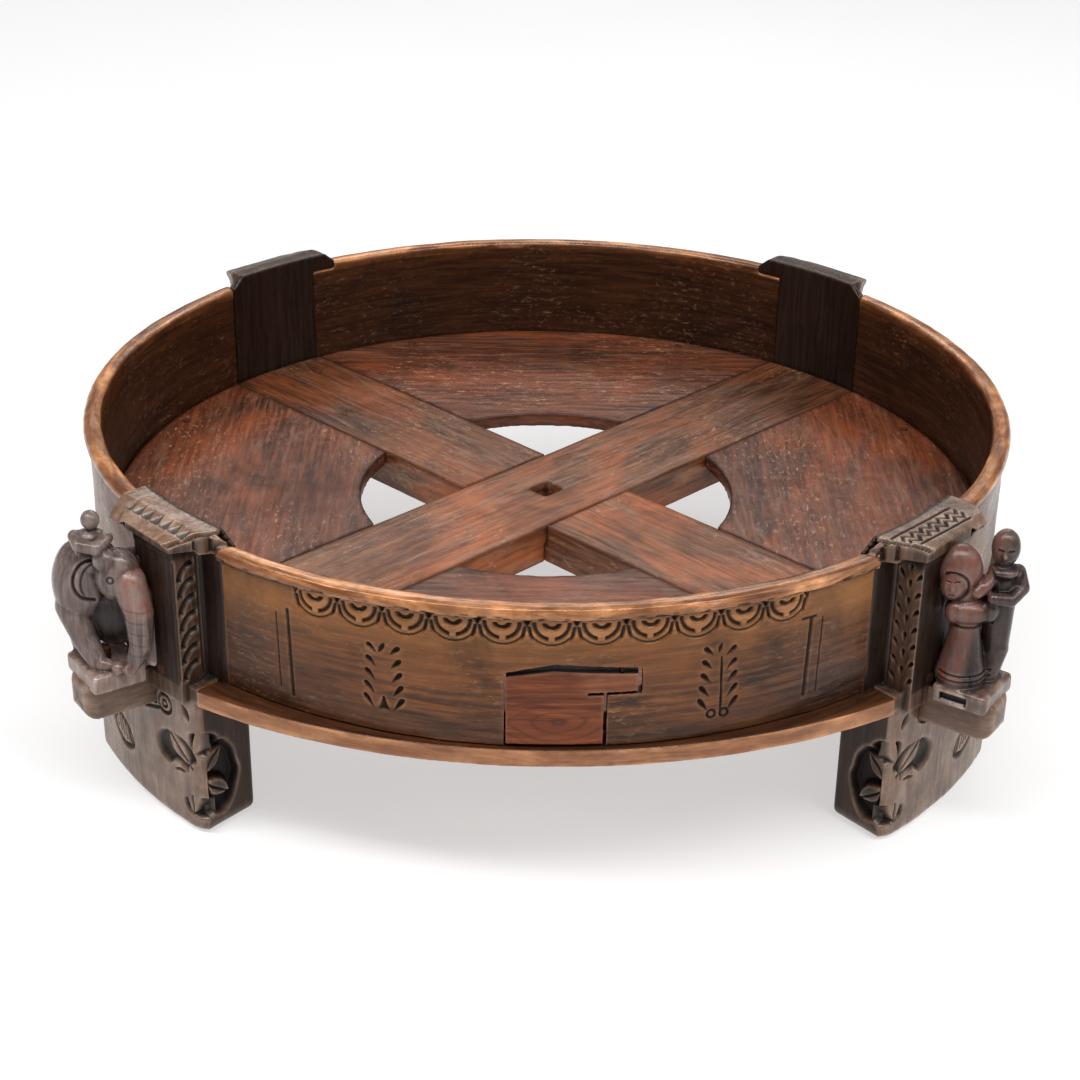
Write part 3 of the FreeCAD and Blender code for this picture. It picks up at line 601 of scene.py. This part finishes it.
def rosette(u, z):
    """The ground cut away 0..1 round a flower over the near corner of a leg, and the flower's own cuts."""
    sway = lattice(np.column_stack((u, z, 0 * z)), 11, 4) - 0.5
    ground = 1 - ramp01(np.hypot((u + 45 + 5 * sway) / 15, (z - 41) / 28), 0.8, 1.05)
    ground = highest(ground, 1 - ramp01(np.hypot((u + 31) / 14, (z - 69 - 6 * sway) / 9), 0.75, 1.1),
                     1 - ramp01(np.hypot((u + 27) / 18, (z - 20 + 6 * sway) / 8), 0.75, 1.1),
                     0.75 * (1 - ramp01(np.hypot((u + 2) / 21, (z - 55) / 14), 0.7, 1.1)))
    x, y = u + 5 * sway, z + 6 * sway
    petals = np.clip(highest(*(chip(x, y, *petal) for petal in PETAL_CHIPS)) * 2.2, 0, 1)
    boss = 1 - ramp01(np.hypot(x - BOSS[0], y - BOSS[1]), 6, 8.5)
    veins = grooves(x, y, *((*BOSS, *end, 2.4) for end in VEIN_ENDS))
    veins = highest(veins, circle(x, y, *BOSS, 7.6, 2.6))
    flower = highest(petals, boss)
    return ground * (1 - flower), flower * veins * ramp01(ground, 0.02, 0.3)


def leg_cuts(u, z):
    """Cut depth in mm over a leg: u runs round its outside from the diagonal, below -30 on the near side."""
    ground, veins = rosette(u, z)
    leaf = np.hypot((u - 68) / 13, (z - 38 - 0.25 * (u - 68)) / 9.5)
    ring = np.clip(1 - np.abs(leaf - 1.05) / 0.28, 0, 1)
    rows = ((57 + 4.4 * i, 32 + 1.4 * i, 61 + 4.4 * i, 46 + 1.0 * i, 2.0) for i in range(5))
    ribs = grooves(u, z, *rows)
    curl = highest(circle(u, z, 6, 88, 7, 3.2), circle(u, z, 6, 88, 2.6, 2.2))
    curl = highest(curl, line(u, z, 12, 82, 30, 76, 3.0), chip(u, z, 38, 84, 20, 7, -40),
                   chip(u, z, -16, 90, 14, 7, 60))
    return highest(ground * 6.5, veins * 1.8, ring * 3.0, ribs * (leaf < 0.95) * 2.2, curl * 2.8)


BAND_FOOT, BAND_TOP, BAND_CUTS = 117, 201, 7
FIRST_CUT, COMMA_PITCH, CHIP_PITCH = 121, 11.8, 12.4


def comma_band(a, z):
    """One column of curved cuts between two thin lines, on a band 22 mm wide."""
    depth = grooves(a, z, *((side, BAND_FOOT, side, BAND_TOP, 1.6) for side in (-8.6, 9.0))) * 1.2
    for i in range(BAND_CUTS):
        level = FIRST_CUT + COMMA_PITCH * i
        bow = np.clip(1 - np.abs(np.hypot(a + 5.5, z - level + 5.0) - 10.6) / 2.6, 0, 1)
        above = (a > -6.5) * (z > level - 6 + 0.1 * a)
        depth = highest(depth, bow * above * 3.2 * ramp01(8.6 - a, 0, 3))
    return depth


def chip_band(a, z):
    """Three columns of small slanting chips, on a band 22 mm wide."""
    depth = grooves(a, z, *((side, BAND_FOOT, side, BAND_TOP, 1.3) for side in (-9.8, 10))) * 0.7
    for i in range(BAND_CUTS):
        level = FIRST_CUT + CHIP_PITCH * i
        middle = drop(a, z, 0, level + 6.2, 7.4, 4.6, 90)
        left, right = (drop(a, z, 6.0 * side, level, 7.8, 4.8, 90 - 38 * side) for side in (-1, 1))
        depth = highest(depth, middle * 2.8, left * 2.8, right * 2.8)
    return depth


# Where the outer bevel of each cap starts and how steep it is, its lobes with their width, and its wear.
BEVELS = {"notches": (330, 0.25), "zigzag": (342, 0.25), "plain": (328, 0.3)}
LOBES = {"notches": (3, 11.0), "zigzag": (4, 8.6)}
LOBE_START = 316
CAP_WEAR = {"notches": 0.75, "zigzag": 0.35, "plain": 0.0}


def cap_half(x):
    """Half the width of a cap at x."""
    return 33.5 - 0.47 * (x - 350)


def cap_cuts(x, y, style):
    """Cut depth in mm on top of a cap, in three parts: outer bevel, carved band and rolled lobes."""
    start, slope = BEVELS[style]
    bevel = np.clip((x - start) * slope, 0, 7)
    if style == "plain":
        return bevel, 0 * x, 0 * x
    from_end = y + cap_half(x)
    wave = np.abs(((y + 4) / 9.2) % 1 - 0.5) * 2
    if style == "notches":
        band = np.clip(1 - wave - np.abs(x - 338) / 9.0, 0, 1) * (x < 339) * 5.0
    else:
        zigzags = (np.clip(1 - np.abs(x - shift - wave * 5.0) / 1.7, 0, 1) for shift in (327.5, 333.5))
        borders = grooves(x, y, (324.5, -27, 324.5, 38, 2.0), (341.5, -27, 341.5, 36, 2.0))
        band = highest(highest(*zigzags) * 2.6, borders * 1.8)
    body = ramp01(from_end, 19, 21) * (1 - ramp01(y, 36, 38))
    count, width = LOBES[style]
    lobes = np.ones(len(x))
    for k in range(count):
        middle = LOBE_START + width * (k + 0.5)
        reach = np.hypot((x - middle) / (width * 0.5), np.maximum(from_end - 9, 0) / 9.5)
        lobes = np.minimum(lobes, np.clip(reach, 0, 1) ** 2.6)
    near = 1 - ramp01(from_end, 18, 20)
    return bevel, band * body, lobes * near * 4.6 * ramp01(x, LOBE_START - 4, LOBE_START)


def post_relief(style, sense):
    """Carving and rounding of a whole post, with the cap and the cheek of the given style."""
    def relief(p, normal, move, pit, marks):
        x, y, z = p[:, 0], p[:, 1] * sense, p[:, 2]
        ny = normal[:, 1] * sense
        radius, outward = facing(p, normal)
        angle = np.arctan2(y, x)
        # carved legs
        below = 1 - ramp01(z, LEG_TOP - 5, LEG_TOP)
        on_outer = ramp01(outward, 0.5, 0.8) * (radius > LEG_OUT - 6) * below
        on_near = ramp01(-ny, 0.6, 0.85) * (np.abs(outward) < 0.6) * (z < LEG_TOP - 3) * (y < 0)
        u = np.where(on_outer > on_near, angle * LEG_OUT, -30 - (LEG_OUT - radius))
        depth = leg_cuts(u, z) * np.clip(on_outer + on_near, 0, 1)
        # the near side of the cheek
        upright = ramp01(z, CHEEK_FOOT, CHEEK_FOOT + 2) * (1 - ramp01(z, CAP_FOOT - 2, CAP_FOOT))
        face = ramp01(-ny, 0.6, 0.85) * (x > CHEEK_IN) * (x < CHEEK_OUT) * upright
        band_cuts = chip_band if style == "zigzag" else comma_band
        depth = highest(depth, band_cuts(x - CHEEK_MIDDLE, z) * face)
        # the top of the cap and its rounded corners
        top = ramp01(normal[:, 2], 0.45, 0.75) * (z > CAP_FOOT + 5)
        bevel, band, lobes = cap_cuts(x, y, style)
        over = ramp01(z, CAP_FOOT, CAP_FOOT + 3) * ramp01(x, LOBE_START, LOBE_START + 6)
        past = np.clip((np.abs(y) - cap_half(x) + 12) / 12, 0, 1)
        corner = np.clip(np.clip((x - 337) / 13, 0, 1) ** 2 + past ** 2 - 1, 0, 1)
        end = ramp01(-ny, 0.4, 0.8) * ramp01(z, CAP_FOOT + 1, CAP_FOOT + 4) * (y < -28) * 0.6
        inward = depth + band * top + lobes * (top + end) + corner * 7 * over * (1 - top)
        move -= normal * inward[:, None]
        raised = ramp01(z, 209, 219) * over
        hollow = np.clip(1 - (z - CAP_FOOT - 0.5) / 6, 0, 1) * (z > CAP_FOOT + 0.5)
        move[:, 2] += ramp01(x, 333, 337) * hollow * 4.5 - bevel * raised - corner * 5 * raised
        # rounded feet and near corner of the leg
        low = z < 60
        thin = np.where(low, pinch(z, 5.5, LEG_HALF_THICK), 1)
        short = np.where(low, pinch(z, 10, LEG_HALF_LONG), 1)
        new_radius = LEG_MIDDLE + (radius - LEG_MIDDLE) * thin
        new_angle = LEG_AZIMUTH + (angle - LEG_AZIMUTH) * short
        edge = np.clip((radius - 333) / 11, 0, 1) ** 2 + np.clip((-y - 19) / 11, 0, 1) ** 2 - 1
        new_radius -= np.clip(edge, 0, 1) * 4 * below * (z < LEG_TOP)
        leg = (z < LEG_TOP) & (radius > LEG_IN)
        move[:, 0] += np.where(leg, new_radius * np.cos(new_angle) - x, 0)
        move[:, 1] += np.where(leg, new_radius * np.sin(new_angle) - y, 0) * sense
        # dirt in the cuts, painted shade on the inner spine and on the cheek's outer face, rubbed cap and leg
        pit += np.clip(depth / 2.6, 0, 1) + np.clip(band / 2, 0, 1) * 0.9 * top
        pit += np.clip((lobes - 2.6) / 2, 0, 1) * 0.7 * (top + end)
        inside = ramp01(-outward, -0.4, 0.1) * (z > FLOOR_TOP - 2) * (radius < WALL_IN + 3)
        cheek = ramp01(outward, 0.5, 0.8) * (z > CHEEK_FOOT - 1) * (z < CAP_FOOT)
        marks["deep"] += inside + 0.7 * on_near + cheek
        marks["wear"] += top * CAP_WEAR[style] + on_outer * 0.6 - 2 * inside - cheek
        if style == "plain":
            marks["deep"] += 0.5 * top
        if style == "notches":
            marks["gold"] += 0.3 * top
    return relief


BAR_REACH, BAR_HALF, BAR_SPLAY, BAR_LEVEL = 390, 14, 11, 98


def bracket_relief(sense, tip):
    """Rounds off the free end of a bracket bar, whose tip lies tip degrees off the diagonal."""
    def relief(p, normal, move, pit, marks):
        splay, lean = math.radians(BAR_SPLAY), math.radians(tip)
        along = np.array([math.cos(splay), math.sin(splay) * sense])
        end = np.array([BAR_REACH * math.cos(lean), BAR_REACH * math.sin(lean) * sense])
        behind = -((p[:, :2] - end) @ along)
        across = (p[:, 1] - end[1]) * along[0] - (p[:, 0] - end[0]) * along[1]
        shrink = np.where(behind < 30, pinch(behind, 9, BAR_HALF), 1) - 1
        move[:, 0] -= across * shrink * along[1]
        move[:, 1] += across * shrink * along[0]
        move[:, 2] += (p[:, 2] - BAR_LEVEL) * shrink * (behind < 30)
        marks["wear"] += 0.28 * ramp01(70 - behind, 0, 10)
    return relief


# ---------------------------------------------------------------- sculpted figures
def ball(centre, radii, lean=(0, 0, 0)):
    """An ellipsoid, leaning by degrees about x, then y, then z."""
    mesh = bpy.data.meshes.new("ball")
    shape = bmesh.new()
    about_x, about_y, about_z = (Matrix.Rotation(math.radians(a), 4, axis) for a, axis in zip(lean, "XYZ"))
    size = Matrix.Diagonal((*[r * MM for r in radii], 1))
    matrix = Matrix.Translation(Vector(centre) * MM) @ (about_z @ about_y @ about_x) @ size
    bmesh.ops.create_uvsphere(shape, u_segments=28, v_segments=18, radius=1, matrix=matrix)
    shape.to_mesh(mesh)
    shape.free()
    return mesh


def balls(*rows):
    return [ball(*row) for row in rows]


def lathe(centre, profile):
    """An upright turned body: (height, radius) pairs from the bottom up."""
    count, points, faces = 36, [], []
    for height, radius in profile:
        for k in range(count):
            a = 2 * math.pi * k / count
            x, y = centre[0] + radius * math.cos(a), centre[1] + radius * math.sin(a)
            points.append((x * MM, y * MM, height * MM))
    last = (len(profile) - 1) * count
    for row in range(0, last, count):
        for k in range(count):
            n = (k + 1) % count
            faces.append((row + k, row + n, row + count + n, row + count + k))
    faces.append(tuple(range(count))[::-1])
    faces.append(tuple(range(last, last + count)))
    mesh = bpy.data.meshes.new("lathe")
    mesh.from_pydata(points, [], faces)
    return mesh


def limb(*path):
    """A rounded limb through (point, radius) pairs, as a chain of overlapping balls."""
    meshes = []
    for (start, r0), (end, r1) in zip(path, path[1:]):
        start, end = Vector(start), Vector(end)
        steps = max(2, int((end - start).length / (0.35 * min(r0, r1))))
        for i in range(steps + 1):
            t = i / steps
            r = r0 + (r1 - r0) * t
            meshes.append(ball(start.lerp(end, t), (r, r, r)))
    return meshes


PLINTH_SIZE, PLINTH_FOOT, PLINTH_TOP = (38, 44), 106, 120


def plinth(centre, azimuth):
    """The slab under a figure, square to its bracket bar."""
    mesh = bpy.data.meshes.new("plinth")
    shape = bmesh.new()
    middle = Vector((*centre, (PLINTH_FOOT + PLINTH_TOP) / 2)) * MM
    size = Matrix.Diagonal((PLINTH_SIZE[0] * MM, PLINTH_SIZE[1] * MM, (PLINTH_TOP - PLINTH_FOOT) * MM, 1))
    matrix = Matrix.Translation(middle) @ Matrix.Rotation(math.radians(azimuth), 4, "Z") @ size
    bmesh.ops.create_cube(shape, size=1, matrix=matrix)
    bmesh.ops.bevel(shape, geom=shape.edges[:], offset=3.5 * MM, segments=3, profile=0.6, affect="EDGES")
    shape.to_mesh(mesh)
    shape.free()
    return mesh


def sculpture(name, meshes, voxel, tone, details):
    """The union of simple bodies, smoothed into one carved figure with knife lines."""
    joined = bmesh.new()
    for mesh in meshes:
        joined.from_mesh(mesh)
        bpy.data.meshes.remove(mesh)
    base = bpy.data.meshes.new(name + "_base")
    joined.to_mesh(base)
    joined.free()
    skin = Skin(fine_mesh(name, base, voxel), voxel)
    skin.smooth(7)
    normal = skin.normals()
    cuts = details(skin.co, normal)
    hollow = 0.35 * lattice(skin.co, 9, 5) + 0.2 * lattice(skin.co, (3, 3, 9), 6)
    skin.co = skin.co - normal * (cuts + hollow)[:, None]
    bend = skin.bend()
    broad = skin.blur(bend, 8)
    on_plinth = 1 - ramp01(skin.co[:, 2], PLINTH_TOP - 1, PLINTH_TOP + 2)
    gold, deep, shadow = tone(skin.co)
    wear = np.clip(bend * 4, 0, 1) * 0.5 + np.clip(broad * 9, 0, 1) * 0.5 + 0.35 * on_plinth
    # Darker in creases, hollows and cuts, plus the painted shadow that a figure's tone gives.
    dirt_and_shade = np.clip(-bend * 6, 0, 1) * 0.8 + np.clip(-broad * 10, 0, 1) * 0.8 + np.clip(cuts, 0, 1) * 0.6
    dirt_and_shade += shadow
    skin.mark(upright_grain(skin.co), wear, dirt_and_shade, gold, deep)
    skin.write()
    return bpy.data.objects.new(name + "_wood", skin.mesh)


def elephant():
    """An elephant and its rider, the head turned to the gate side."""
    meshes = [plinth((-283, -235), -146)]
    # body, haunch, back, belly, shoulder, head and its two humps
    meshes += balls(((-297, -226, 171), (18, 21, 29)), ((-300, -222, 150), (14.5, 17, 19)),
                    ((-289, -228, 189), (17, 16, 13)), ((-277, -228, 150), (20, 12, 24)),
                    ((-262, -228, 176), (16, 12, 20)), ((-270, -239, 183), (14.5, 14, 18), (0, 10, 0)),
                    ((-276.5, -243, 195), (8.5, 8, 8)), ((-266, -243, 191), (8.5, 8, 9)))
    # trunk and ears
    meshes += limb(((-262, -245, 180), 11.5), ((-257, -248, 160), 10), ((-257, -250, 138), 7.5),
                   ((-262, -251, 125), 5.5))
    meshes += balls(((-290, -240, 176), (8.5, 5, 18), (0, -14, 20)),
                    ((-252.5, -231, 190), (8, 5, 14), (0, 10, -20)))
    # four legs
    meshes += limb(((-248, -234, 170), 8.5), ((-251, -236, 122), 7.5))
    meshes += limb(((-302, -232, 156), 11.5), ((-294, -240, 136), 8.5), ((-285, -246, 121), 6.5))
    meshes += limb(((-305, -219, 150), 9), ((-299, -222, 121), 8))
    meshes += limb(((-266, -222, 156), 9), ((-264, -224, 122), 7.5))
    # rider, with arms round the knees, and three lumps at the elephant's feet
    meshes += balls(((-286, -235, 205), (11, 9, 8)), ((-285, -236, 219.2), (6.4, 6.4, 6.6)))
    meshes += limb(((-296, -235, 207), 4.6), ((-292, -243, 204.5), 4.8), ((-281, -245.5, 204), 4.8),
                   ((-275, -238, 208), 4.4))
    meshes += balls(((-281, -249, 122.5), (6, 5, 5)), ((-272, -252, 122), (5, 4.5, 4.5)),
                    ((-264, -254, 122.5), (5.5, 4.5, 4.5)))

    def details(p, normal):
        x, z = p[:, 0], p[:, 2]
        front = ramp01(-normal[:, 1], 0.1, 0.5)
        fold = circle(x, z, -283, 180, 14.5, 3.0) * (x < -284) * (z > 158)
        rim = circle(x, z, -276, 178, 16.5, 2.4) * (x < -284) * (z > 164)
        eye = circle(x, z, -272.5, 185, 2.0, 1.8)
        rows = ((-266 - 0.2 * k, 166 - 8 * k, -252 - 0.2 * k, 164 - 8 * k, 1.8) for k in range(5))
        bands = grooves(x, z, *rows)
        cloth = grooves(x, z, *((-262 + 3.4 * k, 204, -258 + 3.4 * k, 192, 1.5) for k in range(4)))
        cloth = cloth * (p[:, 1] > -240)
        return front * highest(fold * 1.9, rim * 0.9, eye * 0.9, bands * 0.3, cloth * 1.2)

    def tone(p):
        x, z = p[:, 0], p[:, 2]
        brow = ramp01(x, -272, -258) * ramp01(z, 150, 172) * (1 - ramp01(z, 185, 198))
        under_belly = 1 - ramp01(np.hypot((x + 276) / 13, (z - 147) / 17), 0.7, 1.1)
        gold = brow * 0.85 + (1 - ramp01(z, 122, 130)) * 0.35
        # Golden brow and lowest part; painted shade on the far side towards the post; painted shadow under
        # the belly.
        return gold, ramp01(p[:, 1], -232, -215) * 0.6, under_belly * ramp01(z, 126, 132) * 0.8
    return sculpture("elephant_carving", meshes, 0.8, tone, details)


def couple():
    """A woman in a long skirt and veil, and a man behind her."""
    meshes = [plinth((272.5, -247.7), -34)]
    # her skirt, folded arms, elbows, veil, face and nose
    meshes += [lathe((264, -247), [(117, 15), (120, 16.2), (124, 16.4), (130, 15), (140, 12.6), (152, 10.4),
                                   (163, 9.4)])]
    meshes += balls(((265, -247, 169), (15.6, 12, 9.6)), ((276.5, -250, 170), (7, 6.5, 8.5)),
                    ((255, -250, 169), (6, 6, 8)), ((257.5, -244, 196.5), (14.6, 12.5, 17.5)),
                    ((262.5, -243, 183), (12, 10.5, 13)), ((252.5, -250.5, 188.5), (8.5, 7, 10.5)),
                    ((250.8, -257, 189), (1.7, 1.5, 3.0)))
    # his body, shoulders, leg, head, collar and nose
    meshes += limb(((285.5, -240, 140), 9.4), ((285, -240, 176), 11))
    meshes += balls(((285.5, -240, 184), (12.5, 10, 12)))
    meshes += limb(((285.5, -241, 138), 9.4), ((280.5, -245, 121), 8.6))
    meshes += balls(((285, -241, 209.8), (9.4, 9.4, 13.0)), ((285.8, -242.5, 194.8), (11, 9.4, 4.4)),
                    ((282.8, -250.2, 208), (1.6, 1.6, 3.2)))
    # his arms
    meshes += limb(((294.5, -241, 193), 5.4), ((297, -246, 184), 5.2), ((289, -253, 179), 4.8),
                   ((278, -255, 181), 4.4))
    meshes += limb(((277, -246, 190), 5), ((272, -251, 187), 4.6), ((268, -253, 184), 4))

    def details(p, normal):
        x, z = p[:, 0], p[:, 2]
        front = ramp01(-normal[:, 1], 0.1, 0.5)
        skirt = grooves(x, z, (250, 160.5, 280, 160.5, 2.2), (246, 128, 282, 128, 1.8),
                            (246, 124.5, 282, 124.5, 1.3))
        veil = circle(x, z, 251.5, 188, 10.5, 2.4) * (x > 246) * (z > 178)
        her_face = grooves(x, z, (247, 193, 249.5, 193, 1.7), (252.5, 193, 255, 193, 1.7),
                               (249, 183.5, 252.5, 183.5, 1.5))
        his_face = grooves(x, z, (278.5, 211.5, 281.5, 211.5, 1.6), (285.5, 211.5, 288.5, 211.5, 1.6),
                               (281, 202, 286, 202, 1.5))
        collar = circle(x, z, 285.5, 200, 9.5, 2.0) * (z < 197)
        notch = ramp01(8 - np.abs(x - 257), 0, 1.5) * ramp01(3.4 - np.abs(z - 112.5), 0, 1.0)
        return front * highest(skirt * 1.1, veil * 1.4, her_face, his_face, collar * 1.2, notch * 4.5)

    def tone(p):
        woman = 1 - ramp01(p[:, 0] - 0.25 * (p[:, 2] - 170), 268, 276)
        figures = ramp01(p[:, 2], PLINTH_TOP + 1, PLINTH_TOP + 6)
        return woman * figures * 0.6, (1 - woman) * figures * 0.6, 0 * figures
    return sculpture("couple_carving", meshes, 0.75, tone, details)


# ---------------------------------------------------------------- the pieces in their woods
# Display tones: dark, mid, light, rubbed, golden, deep and warm.
# On the wall wood the light rubbed tone, which the lip takes, is partly real wear and partly a painted
# highlight.
WALL = wood("wall_wood_aged", [(57, 35, 25), (107, 68, 41), (146, 96, 56), (230, 164, 112), (160, 110, 50),
                               (36, 22, 17), (132, 80, 42)], specks=0.32, gloss=0.27, stain=0.75, patch=0.6)
FLOOR = wood("floor_wood_aged", [(70, 44, 36), (104, 64, 48), (134, 88, 66), (170, 110, 72), (140, 92, 54),
                                 (40, 25, 20), (156, 84, 48)], specks=0.8, gloss=0.32, patch=0.65, ash=0.45)
BEAM = wood("beam_wood_aged", [(74, 48, 36), (116, 78, 56), (154, 110, 80), (178, 120, 78), (140, 92, 54),
                               (40, 26, 20), (188, 106, 58)], specks=0.7, gloss=0.32, patch=0.75, ash=0.75)
RAIL = wood("rail_wood_aged", [(88, 56, 36), (134, 88, 58), (160, 112, 76), (218, 160, 114), (150, 100, 54),
                               (50, 32, 24), (146, 92, 54)], gloss=0.26, stain=0.45, patch=0.3)
POST = wood("post_wood_aged", [(48, 35, 29), (86, 66, 54), (116, 92, 76), (168, 142, 124), (150, 108, 76),
                               (34, 22, 17), (128, 96, 76)], gloss=0.32, patch=0.2)
GATE = wood("gate_wood_aged", [(84, 40, 22), (124, 64, 34), (150, 88, 50), (176, 120, 80), (150, 90, 50),
                               (60, 30, 18), (138, 76, 38)], gloss=0.34, stain=0.2)
CARVING = wood("carving_wood_aged", [(44, 33, 32), (78, 60, 56), (110, 92, 86), (188, 164, 150),
                                     (142, 82, 62), (26, 26, 31), (124, 98, 88)], gloss=0.17)
ELEPHANT = wood("elephant_wood_aged", [(62, 52, 51), (110, 96, 92), (146, 131, 125), (212, 194, 182),
                                       (150, 86, 64), (28, 28, 32), (138, 114, 104)], gloss=0.15)
IRON = iron("iron_rusty")
PEG = plain_wood("peg_wood_aged", colour(58, 36, 24), colour(96, 62, 40))
# How far the tip of each bracket bar lies off its corner's diagonal, in degrees, and how each post is carved.
TIP_ANGLES = {"front_right": 3.2, "front_left": 5.6, "back_right": 4.4, "back_left": 4.4}
STYLES = {"front_right": "zigzag", "front_left": "notches", "back_right": "plain", "back_left": "plain"}


def body_piece(node, material, slot, *shape, **looks):
    """Shows a worn copy of a node that is fixed to the tray."""
    place(worn(node, *shape, **looks), material, slot, "root", node)


for side, azimuth in SIDES.items():
    front = side == "front"
    body_piece(f"wall_{side}", WALL, "wall_wood", 0.65 if front else 1.3, azimuth, round_grain,
               front_relief if front else wall_relief, edge=0.35, seam=0.2)
    body_piece(f"rail_{side}", RAIL, "rail_wood", 1.1, azimuth, round_grain, rail_relief)
    body_piece(f"floor_board_{side}", FLOOR, "floor_wood", 1.4, azimuth, cross_grain, edge=0.0, seam=0.75)
for corner, (azimuth, sense) in CORNERS.items():
    near = corner.startswith("front")
    body_piece(f"post_{corner}", POST, "post_wood", 0.75 if near else 1.2, azimuth, upright_grain,
               post_relief(STYLES[corner], sense), rounds=6, edge=0.5)
    body_piece(f"bracket_{corner}", POST, "post_wood", 0.9 if near else 1.3, azimuth, long_grain,
               bracket_relief(sense, TIP_ANGLES[corner]), rounds=10)
for beam, azimuth, far in (("beam_upper", 45, 1), ("beam_lower", -45, -1)):
    body_piece(beam, BEAM, "beam_wood", 1.4, azimuth, long_grain, beam_relief(far), edge=0.1, seam=0.6)
gate = worn("gate", 0.5, SIDES["front"], round_grain, gate_relief, rough=0.25, ripple=0.12)
place(gate, GATE, "gate_wood", "gate", "gate")
place(elephant(), ELEPHANT, "carving_wood", "root", "elephant_carving")
place(couple(), CARVING, "carving_wood", "root", "couple_carving")
for material, names in ((IRON, ("gate_pin", "rail_nails")),
                        (PEG, ("floor_pegs", "lap_pegs", "bracket_pegs", "figure_dowels", "post_pegs"))):
    for name in names:
        NODES[name].data.materials.clear()
        NODES[name].data.materials.append(material)

# ---------------------------------------------------------------- floor, light and camera
FLOOR_HALF, FLOOR_GLOW = 40.0, 0.47
ground = bpy.data.meshes.new("studio_floor")
rim = [(x * FLOOR_HALF, y * FLOOR_HALF, 0) for x, y in ((-1, -1), (1, -1), (1, 1), (-1, 1))]
ground.from_pydata(rim, [], [(0, 1, 2, 3)])
studio_floor = bpy.data.objects.new("studio_floor", ground)
scene.collection.objects.link(studio_floor)
pale = Tree("studio_floor_pale")
spot = pale.noise(pale.new("ShaderNodeTexCoord").outputs["Object"], 3.0, 2, 0.5)
pale.shade("Base Color", pale.mix(spot, (0.44, 0.44, 0.44, 1), (0.47, 0.47, 0.47, 1)))
pale.shade("Roughness", 0.95)
pale.shade("Specular IOR Level", 0.1)
pale.shade("Emission Color", (1.0, 1.0, 1.0, 1))
pale.shade("Emission Strength", FLOOR_GLOW)
ground.materials.append(pale.material)

world = bpy.data.worlds.new("studio")
world.use_nodes = True
world.node_tree.nodes["Background"].inputs["Color"].default_value = (1.0, 1.0, 1.0, 1)
world.node_tree.nodes["Background"].inputs["Strength"].default_value = 0.3
scene.world = world
scene.view_settings.view_transform = "Standard"
scene.view_settings.look = "Medium High Contrast"


LIGHT_TARGET = Vector((0, 0, 0.15))


def softbox(name, position, size, power):
    """A rectangular lamp turned to the middle of the tray; sizes in metres, power in watts."""
    lamp = bpy.data.lights.new(name, "AREA")
    lamp.shape = "RECTANGLE"
    lamp.size, lamp.size_y = size
    lamp.energy = power
    obj = bpy.data.objects.new(name, lamp)
    obj.location = position
    obj.rotation_euler = (Vector(position) - LIGHT_TARGET).to_track_quat("Z", "Y").to_euler()
    scene.collection.objects.link(obj)


softbox("key_soft", (-0.3, -1.1, 2.3), (4.4, 0.55), 58)
softbox("fill_soft", (1.8, -0.8, 1.6), (1.4, 1.4), 9)
softbox("back_soft", (0.2, 2.0, 1.9), (2.2, 0.8), 15)

CAMERA_TARGET = Vector((-0.00373, 0.0, 0.0873))
CAMERA_DISTANCE, CAMERA_LENS, SENSOR_WIDTH = 1.5965, 71.09, 36.0
CAMERA_UP, CAMERA_YAW, CAMERA_ROLL = (math.radians(v) for v in (27.23, 0.36, 0.84))
level_step, rise = math.cos(CAMERA_UP), math.sin(CAMERA_UP)
back = Vector((-math.sin(CAMERA_YAW) * level_step, -math.cos(CAMERA_YAW) * level_step, rise))
right = (-back).cross(Vector((0, 0, 1))).normalized()
up = right.cross(-back)
across = right * math.cos(CAMERA_ROLL) + up * math.sin(CAMERA_ROLL)
above = up * math.cos(CAMERA_ROLL) - right * math.sin(CAMERA_ROLL)
lens = bpy.data.cameras.new("camera")
lens.lens, lens.sensor_width = CAMERA_LENS, SENSOR_WIDTH
lens.clip_start, lens.clip_end = 0.05, 60
camera = bpy.data.objects.new("camera", lens)
stance = Matrix((across, above, back)).transposed().to_4x4()
camera.matrix_world = Matrix.Translation(CAMERA_TARGET + back * CAMERA_DISTANCE) @ stance
scene.collection.objects.link(camera)
scene.camera = camera
